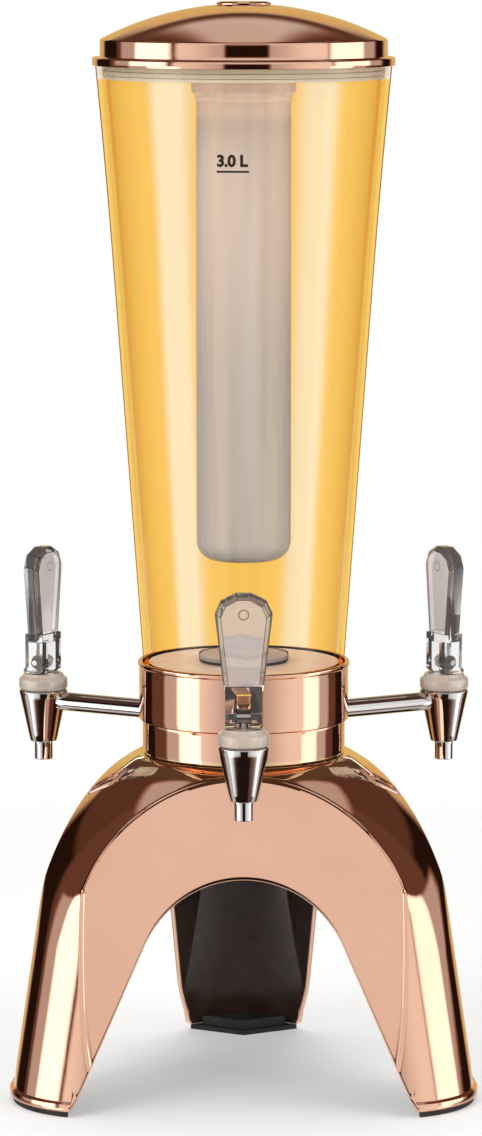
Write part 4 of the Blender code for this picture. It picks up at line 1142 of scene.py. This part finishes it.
@dataclass
class Tank:
    """The tapered clear tank, the drink in it and the volume mark on its front."""

    finishes: Finishes
    base: float = 234.0 * MM
    top: float = 568.2 * MM
    wall: float = 3.0 * MM
    floor: float = 4.0 * MM
    outlet: float = 17.3 * MM
    drink_level: float = 560.9 * MM
    drink_gap: float = 0.25 * MM
    bolt_radius: float = 24.6 * MM
    bolt_top: float = 242.5 * MM
    tube_radius: float = 26.2 * MM
    tube_neck: float = 28.9 * MM
    tube_bottom: float = 295.0 * MM
    tube_corner: float = 11.0 * MM
    tube_shoulder: float = 551.3 * MM
    tube_neck_bottom: float = 554.0 * MM

    def build_wall(self) -> None:
        """The wall's outer side follows the taper and its inner side keeps the wall's thickness."""
        height = np.linspace(self.base, self.top, 90)
        outer = np.stack([tank_radius(height), height], axis=-1)
        height = np.linspace(self.top, self.base + self.floor, 90)
        inner = np.stack([tank_radius(height) - self.wall, height], axis=-1)
        hole = np.array([[self.outlet, self.base + self.floor], [self.outlet, self.base]])
        profile = np.vstack([outer, inner, hole])
        row = np.arange(len(profile))
        worn = ((row >= len(outer)) & (row < len(outer) + len(inner) - 1)) + 2 * (row == len(outer) + len(inner) - 1)
        finish = self.finishes.clear_wall
        dressed = [finish, self.finishes.clear_inside, self.finishes.pale_floor]
        made = surface("tank_wall", turned(profile, 192), dressed, worn)
        stand(made, "root", finish, "tank")

    def build_drink(self) -> None:
        """The drink fills the tank round the ice tube, clear of both by a hair."""
        gap = self.drink_gap
        height = np.linspace(self.base + self.floor + gap, self.drink_level, 80)
        side = np.stack([tank_radius(height) - self.wall - gap, height], axis=-1)
        bolt = [(self.bolt_radius + gap, self.base + self.floor + gap), (self.bolt_radius + gap, self.bolt_top + gap)]
        floor = np.array([(0.0, self.bolt_top + gap), *bolt[::-1]])
        neck = [(self.tube_neck + gap, self.drink_level), (self.tube_neck + gap, self.tube_neck_bottom)]
        tube = self.tube_radius + gap
        low = self.tube_bottom - gap
        corners = [*neck, (tube, self.tube_shoulder), (tube, low), (0.0, low)]
        hollow = rounded(corners, [0, 0, 0, self.tube_corner + gap, 0], 12, False)
        profile = np.vstack([floor, side, hollow])
        row = np.arange(len(profile) - 1)
        skin = (row < len(floor)) | (row >= len(floor) + len(side) - 1)
        finish = self.finishes.drink
        grid = turned(profile, 160)
        made = surface("beer_fill", grid, [finish, self.finishes.drink_skin], skin, close_rows=False)
        stand(made, "root", finish)

    def build_mark(self) -> None:
        """The volume mark: plain lettering and a rule, wrapped on the wall's front."""
        curve = bpy.data.curves.new("volume_mark", "FONT")
        curve.body = "3.0 L"
        curve.size = 8.5 * MM
        curve.extrude = 0.04 * MM
        curve.offset = 0.4 * MM
        curve.space_character = 0.98
        text = bpy.data.objects.new("volume_mark_text", curve)
        bpy.context.scene.collection.objects.link(text)
        bpy.context.view_layer.update()
        mesh = bpy.data.meshes.new_from_object(text.evaluated_get(bpy.context.evaluated_depsgraph_get()))
        bpy.data.objects.remove(text, do_unlink=True)
        flat = np.empty(len(mesh.vertices) * 3)
        mesh.vertices.foreach_get("co", flat)
        flat = flat.reshape(-1, 3)
        flat[:, 0] += -14.4 * MM - flat[:, 0].min()
        flat[:, 1] += 516.9 * MM
        mesh.vertices.foreach_set("co", self.wrapped(flat).ravel())
        mesh.materials.clear()
        finish = self.finishes.ink
        mesh.materials.append(finish.material())
        letters = bpy.data.objects.new("volume_mark", mesh)
        bpy.context.scene.collection.objects.link(letters)
        stand(letters, "root", finish)
        across = np.linspace(-14.6 * MM, 2.9 * MM, 24)
        section_share = np.array([(0, -0.04), (1.1, -0.04), (1.1, 0.04), (0, 0.04)]) * MM
        rule = section_share + np.array([513.4 * MM, 0])
        x = np.broadcast_to(across, (4, 24))
        y = np.broadcast_to(rule[:, :1], (4, 24))
        z = np.broadcast_to(rule[:, 1:], (4, 24))
        bent = self.wrapped(np.stack([x, y, z], axis=-1))
        ends = [[0, 24, 48, 72], [23, 95, 71, 47]]
        faces = np.vstack([grid_faces(4, 24, True, False), ends])
        made = solid("volume_mark_rule", bent, faces, [finish])
        stand(made, "root", finish)

    def wrapped(self, flat: Array) -> Array:
        """Bends a flat drawing round the tank: across becomes an angle, and up stays a height."""
        radius = tank_radius(flat[..., 1]) + 0.08 * MM + flat[..., 2]
        turn = flat[..., 0] / radius - math.pi / 2
        return np.stack([radius * np.cos(turn), radius * np.sin(turn), flat[..., 1]], axis=-1)

    def build(self) -> None:
        """Builds the wall, the drink and the mark."""
        self.build_wall()
        self.build_drink()
        self.build_mark()


@dataclass
class IceTube:
    """The satin grey tube that hangs in the drink."""

    finishes: Finishes
    radius: float = 26.2 * MM
    wall: float = 2.0 * MM
    bottom: float = 295.0 * MM
    corner: float = 11.0 * MM
    neck_radius: float = 28.9 * MM
    neck_bottom: float = 554.0 * MM
    shoulder: float = 551.3 * MM
    top: float = 561.0 * MM

    def build(self) -> None:
        """The outer side, the rim and the inner side make one profile from pole to pole."""
        inner = self.radius - self.wall
        socket = self.neck_radius - self.wall
        corners = [
            (0.0, self.bottom),
            (self.radius, self.bottom),
            (self.radius, self.shoulder),
            (self.neck_radius, self.neck_bottom),
            (self.neck_radius, self.top),
            (socket, self.top),
            (socket, self.neck_bottom - 4 * MM),
            (inner, self.shoulder - 5 * MM),
            (inner, self.bottom + self.wall),
            (0.0, self.bottom + self.wall),
        ]
        soft = 0.5 * MM
        radii = [0, self.corner, soft, soft, soft, soft, soft, soft, self.corner - self.wall, 0]
        profile = divided(rounded(corners, radii, 10, False), 12 * MM)
        finish = self.finishes.tube
        made = surface("ice_tube_skin", turned(profile, 128), [finish], close_rows=False)
        stand(made, "tube", finish, "ice_tube")


@dataclass
class Lid:
    """The plated cover with its button, and the pale liner under it."""

    finishes: Finishes
    flange_radius: float = 83.2 * MM
    flange_bottom: float = 568.5 * MM
    flange_top: float = 573.0 * MM
    radius: float = 79.0 * MM
    side_top: float = 582.6 * MM
    dome_radius: float = 170.0 * MM
    skin: float = 1.6 * MM
    hole: float = 4.3 * MM
    cap_radius: float = 15.0 * MM
    cap_rise: float = 1.1 * MM
    cap_edge: float = 0.6 * MM
    cap_chamfer: float = 1.6 * MM

    def dome(self, radius: Array, inset: float) -> Array:
        """The dome's height at a radius."""
        drop = math.sqrt(self.dome_radius**2 - self.radius**2)
        return self.side_top - drop + np.sqrt((self.dome_radius - inset) ** 2 - radius**2)

    def build(self) -> None:
        """Builds the cover; the button, the liner and the seal are carried over."""
        reach = np.linspace(self.radius, self.hole, 60)
        outer = np.stack([reach, self.dome(reach, 0)], axis=-1)
        inside = self.radius - self.skin
        reach = np.linspace(self.hole, inside, 40)
        inner = np.stack([reach, self.dome(reach, self.skin)], axis=-1)
        low = self.flange_bottom
        corners = [
            tuple(inner[-1]),
            (inside, self.flange_top - self.skin),
            (self.flange_radius - self.skin, self.flange_top - self.skin),
            (self.flange_radius - self.skin, low),
            (self.flange_radius, low),
            (self.flange_radius, self.flange_top),
            (self.radius, self.flange_top),
            (self.radius, self.side_top),
            tuple(outer[1]),
        ]
        radii = [0, 0.5 * MM, 0.4 * MM, 0.2 * MM, 0.3 * MM, 0.9 * MM, 0.6 * MM, 0.9 * MM, 0]
        side = divided(rounded(corners, radii, 6, False), 3 * MM)
        profile = np.vstack([side, outer[2:], inner[:-1]])
        finish = self.finishes.rose_gold
        made = surface("lid_cover_skin", turned(profile, 192), [finish])
        stand(made, "lid", finish, "lid_cover")
        dress(["lid_cap"], finish)
        dress(["lid_liner"], self.finishes.liner)
        dress(["lid_seal"], self.finishes.silicone)


@dataclass
class Tap:
    """One lever tap: pipe, coned body, nozzle, clear bonnet and clear handle."""

    finishes: Finishes
    number: int
    distance: float = 132.0 * MM
    pipe_z: float = 206.0 * MM
    pipe_radius: float = 5.25 * MM
    pipe_bore: float = 3.3 * MM
    pipe_start: float = 31.5 * MM
    body_bottom: float = 182.4 * MM
    body_top: float = 212.0 * MM
    body_bottom_radius: float = 7.55 * MM
    body_top_radius: float = 14.0 * MM
    valve_bore: float = 8.5 * MM
    valve_seat: float = 194.0 * MM
    spigot: float = 4.5 * MM
    nozzle_radius: float = 5.1 * MM
    nozzle_bore: float = 2.9 * MM
    nozzle_bottom: float = 171.8 * MM
    nozzle_top: float = 182.1 * MM
    bonnet_radius: float = 13.8 * MM
    bonnet_bottom: float = 212.3 * MM
    bonnet_top: float = 221.5 * MM
    stem_hole: float = 2.7 * MM
    blade_bottom: float = 243.0 * MM
    centre: tuple[float, float] = field(init=False)
    azimuth: float = field(init=False)

    def __post_init__(self) -> None:
        """Works out where the tap stands."""
        self.azimuth = TAP_AZIMUTHS[self.number - 1]
        self.centre = (self.distance * math.cos(self.azimuth), self.distance * math.sin(self.azimuth))

    def piece(self, kind: str, corners: list, radii: list, finish: Finish, steps: int = 96) -> None:
        """A turned piece that stands for the node of its kind."""
        profile = section(corners, radii, 4 * MM)
        made = surface(f"{kind}_{self.number}_skin", turned(profile, steps, self.centre), [finish])
        stand(made, "root", finish, f"{kind}_{self.number}")

    def build_body(self) -> None:
        """The cone, with its valve bore and the socket for the nozzle."""
        chrome, soft = self.finishes.chrome, 0.6 * MM
        cone = [
            (self.spigot, self.body_bottom),
            (self.body_bottom_radius, self.body_bottom),
            (self.body_top_radius, self.body_top),
            (self.valve_bore, self.body_top),
            (self.valve_bore, self.valve_seat),
            (self.spigot, self.valve_seat - 3 * MM),
        ]
        self.piece("tap_body", cone, [0.2 * MM, soft, 0.9 * MM, 0.2 * MM, 0, 0], chrome, 128)
        nozzle = [
            (self.nozzle_bore, self.nozzle_bottom),
            (self.nozzle_radius, self.nozzle_bottom),
            (self.nozzle_radius, self.nozzle_top),
            (self.spigot - GAP, self.nozzle_top),
            (self.spigot - GAP, self.nozzle_top + 5.6 * MM),
            (self.nozzle_bore, self.nozzle_top + 5.6 * MM),
        ]
        self.piece("nozzle", nozzle, [0.3 * MM, 0.5 * MM, 0.3 * MM, 0, 0, 0], chrome)

    def build_bonnet(self) -> None:
        """A clear cap in two tiers."""
        bottom, top = self.bonnet_bottom, self.bonnet_top
        plug = self.valve_bore - GAP
        corners = [
            (self.stem_hole, bottom - 4.5 * MM),
            (plug, bottom - 4.5 * MM),
            (plug, bottom),
            (self.bonnet_radius - 0.9 * MM, bottom),
            (self.bonnet_radius, bottom + 1.2 * MM),
            (self.bonnet_radius, top - 3.0 * MM),
            (self.bonnet_radius - 2.2 * MM, top - 1.6 * MM),
            (self.bonnet_radius - 2.6 * MM, top),
            (self.stem_hole, top),
        ]
        radii = [0.2 * MM, 0.3 * MM, 0, 0.4 * MM, 0.8 * MM, 1.2 * MM, 0.5 * MM, 0.7 * MM, 0.2 * MM]
        self.piece("bonnet", corners, radii, self.finishes.frosted)

    def build_pipe(self) -> None:
        """The pipe lies along the tap's azimuth."""
        seat = 11.35 * MM
        length = self.distance - seat - self.pipe_start + 1.65 * MM - 1 * MM
        corners = [(self.pipe_bore, 0.0), (self.pipe_radius, 0.0), (self.pipe_radius, length), (self.pipe_bore, length)]
        profile = section(corners, [0.3 * MM] * 4, 8 * MM, 4)
        grid = turned(profile, 64)
        along = np.stack([self.pipe_start + grid[..., 2], grid[..., 0], self.pipe_z + grid[..., 1]], axis=-1)
        chrome = self.finishes.chrome
        made = surface(f"shank_{self.number}_skin", swung(along, self.azimuth), [chrome])
        stand(made, "root", chrome, f"shank_{self.number}")

    def build_handle(self) -> None:
        """A merged copy of the handle's solid with its facet edges rounded and painted dark."""
        name = f"handle_{self.number}"
        acrylic = self.finishes.acrylic
        smoked = replace(
            self.finishes.smoked, name=f"smoked_face_{self.number}", dimple_azimuth=math.degrees(self.azimuth)
        )
        outward = Vector((math.cos(self.azimuth), math.sin(self.azimuth), 0))
        shape = bmesh.new()
        shape.from_mesh(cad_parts[name].data)
        bmesh.ops.remove_doubles(shape, verts=shape.verts, dist=0.001 * MM)
        bmesh.ops.dissolve_limit(shape, angle_limit=math.radians(1), verts=shape.verts, edges=shape.edges)
        for face in shape.faces:
            flat = abs(face.normal.dot(outward)) > 0.98
            face.material_index = 2 if flat and face.calc_center_median().z > self.blade_bottom else 0
        mesh = bpy.data.meshes.new(f"{name}_skin")
        shape.to_mesh(mesh)
        shape.free()
        mesh.shade_smooth()
        mesh.set_sharp_from_angle(angle=math.radians(30))
        mesh.materials.append(acrylic.material())
        mesh.materials.append(self.finishes.edge.material())
        mesh.materials.append(smoked.material())
        made = bpy.data.objects.new(f"{name}_skin", mesh)
        bpy.context.scene.collection.objects.link(made)
        bevel = made.modifiers.new("polished_edges", "BEVEL")
        bevel.width = 0.7 * MM
        bevel.segments = 2
        bevel.limit_method = "ANGLE"
        bevel.angle_limit = math.radians(12)
        bevel.harden_normals = True
        # The rounded edges wear the near-black edge finish, painted shade along the facets.
        bevel.material = 1
        stand(made, f"{name}_body", acrylic, name)

    def build(self) -> None:
        """Builds the tap and dresses the pieces inside it."""
        self.build_pipe()
        self.build_body()
        self.build_bonnet()
        self.build_handle()
        steel = [f"shank_nut_{self.number}", f"spring_{self.number}", f"stem_{self.number}", f"pivot_pin_{self.number}"]
        dress(steel, self.finishes.steel)
        dress([f"shank_washer_{self.number}", f"stem_seal_{self.number}"], self.finishes.rubber)


# The studio


@dataclass
class Studio:
    """A pale floor, a soft room that metal and clear plastic mirror, three lamps and the camera."""

    floor_radius: float = 1.1
    room_level: float = 0.62
    camera_distance: float = 2.786
    camera_height: float = 0.655
    aim_height: float = 0.2902
    aim_across: float = -0.0015
    focal_pixels: float = 5056.0
    image_height: float = 1136.0
    sensor: float = 36.0

    def build_world(self) -> None:
        """What each kind of ray meets outside: white for the eye, panels of light and dark for gloss."""
        world = bpy.data.worlds.new("studio_room")
        bpy.context.scene.world = world
        recipe = Recipe(world)
        way = recipe.place("Generated")
        across, depth, rise = (recipe.axis(way, name) for name in "XYZ")
        turn = recipe.math("ARCTAN2", across, 0 - depth) * math.degrees(1)
        lift = rise.math("ARCSINE") * math.degrees(1)
        away = turn.math("ABSOLUTE")
        low = 1 - lift.smooth(1.5, 6)
        ramp = 0.52 + 0.42 * (turn - 3).math("ABSOLUTE").smooth(14, 56)
        wall = (ramp * low + 0.81 * (1 - low)) * turn.band(-56, 72, 4) * lift.band(-30, 32, 4)
        flag = turn.band(-15, 20, 2) * low
        wall = wall * (1 - 0.97 * flag)
        level = 1 - lift.smooth(-5, -3)
        sloped = lift.smooth(-5, -3) * (1 - lift.smooth(9, 12))
        left_box = 2.1 * (turn.band(-79, -49, 4) * level + turn.band(-97, -61, 4) * sloped)
        right_box = 1.8 * (turn.band(68, 92, 4) * level + turn.band(73, 112, 4) * sloped)
        boxes = (left_box + right_box) * lift.band(-30, 36, 4)
        side = 0.55 * (turn.band(-99, -70, 4) + turn.band(85, 108, 4)) * level
        side = side + 0.5 * (turn.band(-116, -94, 4) + turn.band(108, 130, 4)) * sloped
        side = side * lift.band(-30, 36, 4)
        edge = 0.13 * away.band(95, 122, 3) * lift.band(-30, 60, 6)
        back = depth.smooth(0.1, 0.3)
        straight_back = away.smooth(163, 173)
        ceiling = back * (0.1 * lift.smooth(16, 22) + 0.5 * straight_back * lift.smooth(30, 37))
        gold = (away.band(150, 200, 6) * lift.band(-40, 19, 2.5)).larger(straight_back * lift.band(0, 27, 3))
        patch = 0.5 * away.band(112, 138, 3) * lift.band(46, 64, 3)
        ground = 0.55 * (away.band(74, 108, 8) + 0.25 * turn.band(36, 70, 8)) * (1 - lift.smooth(-22, -16))
        gloss = wall.larger(boxes).larger(side).larger(edge).larger(ceiling).larger(patch).larger(ground)
        gloss = gloss.larger(0.07 * lift.smooth(20, 40)).larger(0.7 * gold).larger(0.016)
        seen_through = 0.03 + 0.97 * depth.smooth(0.5, 0.88)
        path = recipe.tree.nodes.new("ShaderNodeLightPath")
        camera, glossy, through = (
            Sock(recipe, path.outputs[name]) for name in ("Is Camera Ray", "Is Glossy Ray", "Is Transmission Ray")
        )
        level = self.room_level * (1 - glossy) + gloss * glossy
        level = level * (1 - through) + seen_through * through
        level = level * (1 - camera) + camera
        warm = recipe.blend(gloss.smooth(0.08, 0.6), rgba(1.0, 0.5, 0.33), WHITE)
        warm = recipe.blend(gold, warm, rgba(1.0, 0.72, 0.27))
        colour = recipe.blend(glossy * (1 - through), WHITE, warm)
        background = recipe.node("ShaderNodeBackground", None, {"Color": colour, "Strength": level})
        recipe.node("ShaderNodeOutputWorld", None, {"Surface": background})

    def build_floor(self) -> None:
        """A pale round floor that fades out before its edge."""
        radius = np.linspace(0, self.floor_radius, 24)
        profile = np.stack([radius, np.zeros(24)], axis=-1)
        material = bpy.data.materials.new("studio_floor")
        recipe = Recipe(material)
        place = recipe.place()
        away = recipe.node("ShaderNodeVectorMath", {"operation": "LENGTH"}, {0: place}, "Value")
        grain = recipe.noise(25.0, 3.0)
        pale = recipe.principled(
            Base_Color=recipe.blend(grain, rgba(0.93, 0.93, 0.93), rgba(0.95, 0.95, 0.945)), Roughness=0.7
        )
        clear = recipe.node("ShaderNodeBsdfTransparent", None, {"Color": WHITE})
        path = recipe.tree.nodes.new("ShaderNodeLightPath")
        camera, glossy = (Sock(recipe, path.outputs[name]) for name in ("Is Camera Ray", "Is Glossy Ray"))
        faded = away.smooth(0.35, self.floor_radius * 0.95).larger(0.3 * camera)
        faded = faded.larger(glossy * away.smooth(0.13, 0.17))
        recipe.finish(recipe.mixed(faded, pale, clear))
        grid = turned(profile, 96)
        mesh = bpy.data.meshes.new("studio_floor")
        faces = grid_faces(24, 96, False, True)
        mesh.from_pydata(grid.reshape(-1, 3).tolist(), [], faces[:, ::-1].tolist())
        mesh.materials.append(material)
        floor = bpy.data.objects.new("studio_floor", mesh)
        bpy.context.scene.collection.objects.link(floor)

    def lamp(self, name: str, place: tuple[float, float, float], size: float, power: float) -> None:
        """A square soft lamp aimed at the tower's middle.

        Args:
            name: The lamp's name.
            place: Where it hangs.
            size: The length of its side.
            power: Its power in watts.
        """
        light = bpy.data.lights.new(name, "AREA")
        light.size = size
        light.energy = power
        made = bpy.data.objects.new(name, light)
        made.location = place
        made.rotation_euler = (Vector((0, 0, 0.3)) - Vector(place)).to_track_quat("-Z", "Y").to_euler()
        made.visible_glossy = False
        made.visible_transmission = False
        bpy.context.scene.collection.objects.link(made)

    def build_camera(self) -> None:
        """The camera of the photograph: a long lens, level across and tipped down a little."""
        data = bpy.data.cameras.new("photo_camera")
        data.sensor_width = self.sensor
        data.lens = self.focal_pixels / self.image_height * self.sensor
        camera = bpy.data.objects.new("photo_camera", data)
        camera.location = (0, -self.camera_distance, self.camera_height)
        aim = Vector((self.aim_across, 0, self.aim_height)) - camera.location
        camera.rotation_euler = aim.to_track_quat("-Z", "Y").to_euler()
        bpy.context.scene.collection.objects.link(camera)
        bpy.context.scene.camera = camera

    def build(self) -> None:
        """Builds the room, the floor, the lamps and the camera."""
        self.build_world()
        self.build_floor()
        self.lamp("key_lamp", (-1.3, -1.6, 1.5), 1.2, 22.0)
        self.lamp("fill_lamp", (1.6, -1.2, 1.1), 1.2, 12.0)
        self.lamp("top_lamp", (0.0, 0.3, 2.2), 1.6, 18.0)
        self.build_camera()
        bpy.context.scene.view_settings.view_transform = "Standard"
        log.info("studio built")


def main() -> None:
    """Builds every sub-assembly in order."""
    logging.basicConfig(level=logging.INFO, format="%(message)s")
    finishes = Finishes()
    Studio().build()
    BaseShell(finishes).build()
    Collar(finishes).build()
    Tank(finishes).build()
    IceTube(finishes).build()
    Lid(finishes).build()
    for number in range(1, TAPS + 1):
        Tap(finishes, number).build()


if __name__ == "__main__":
    main()
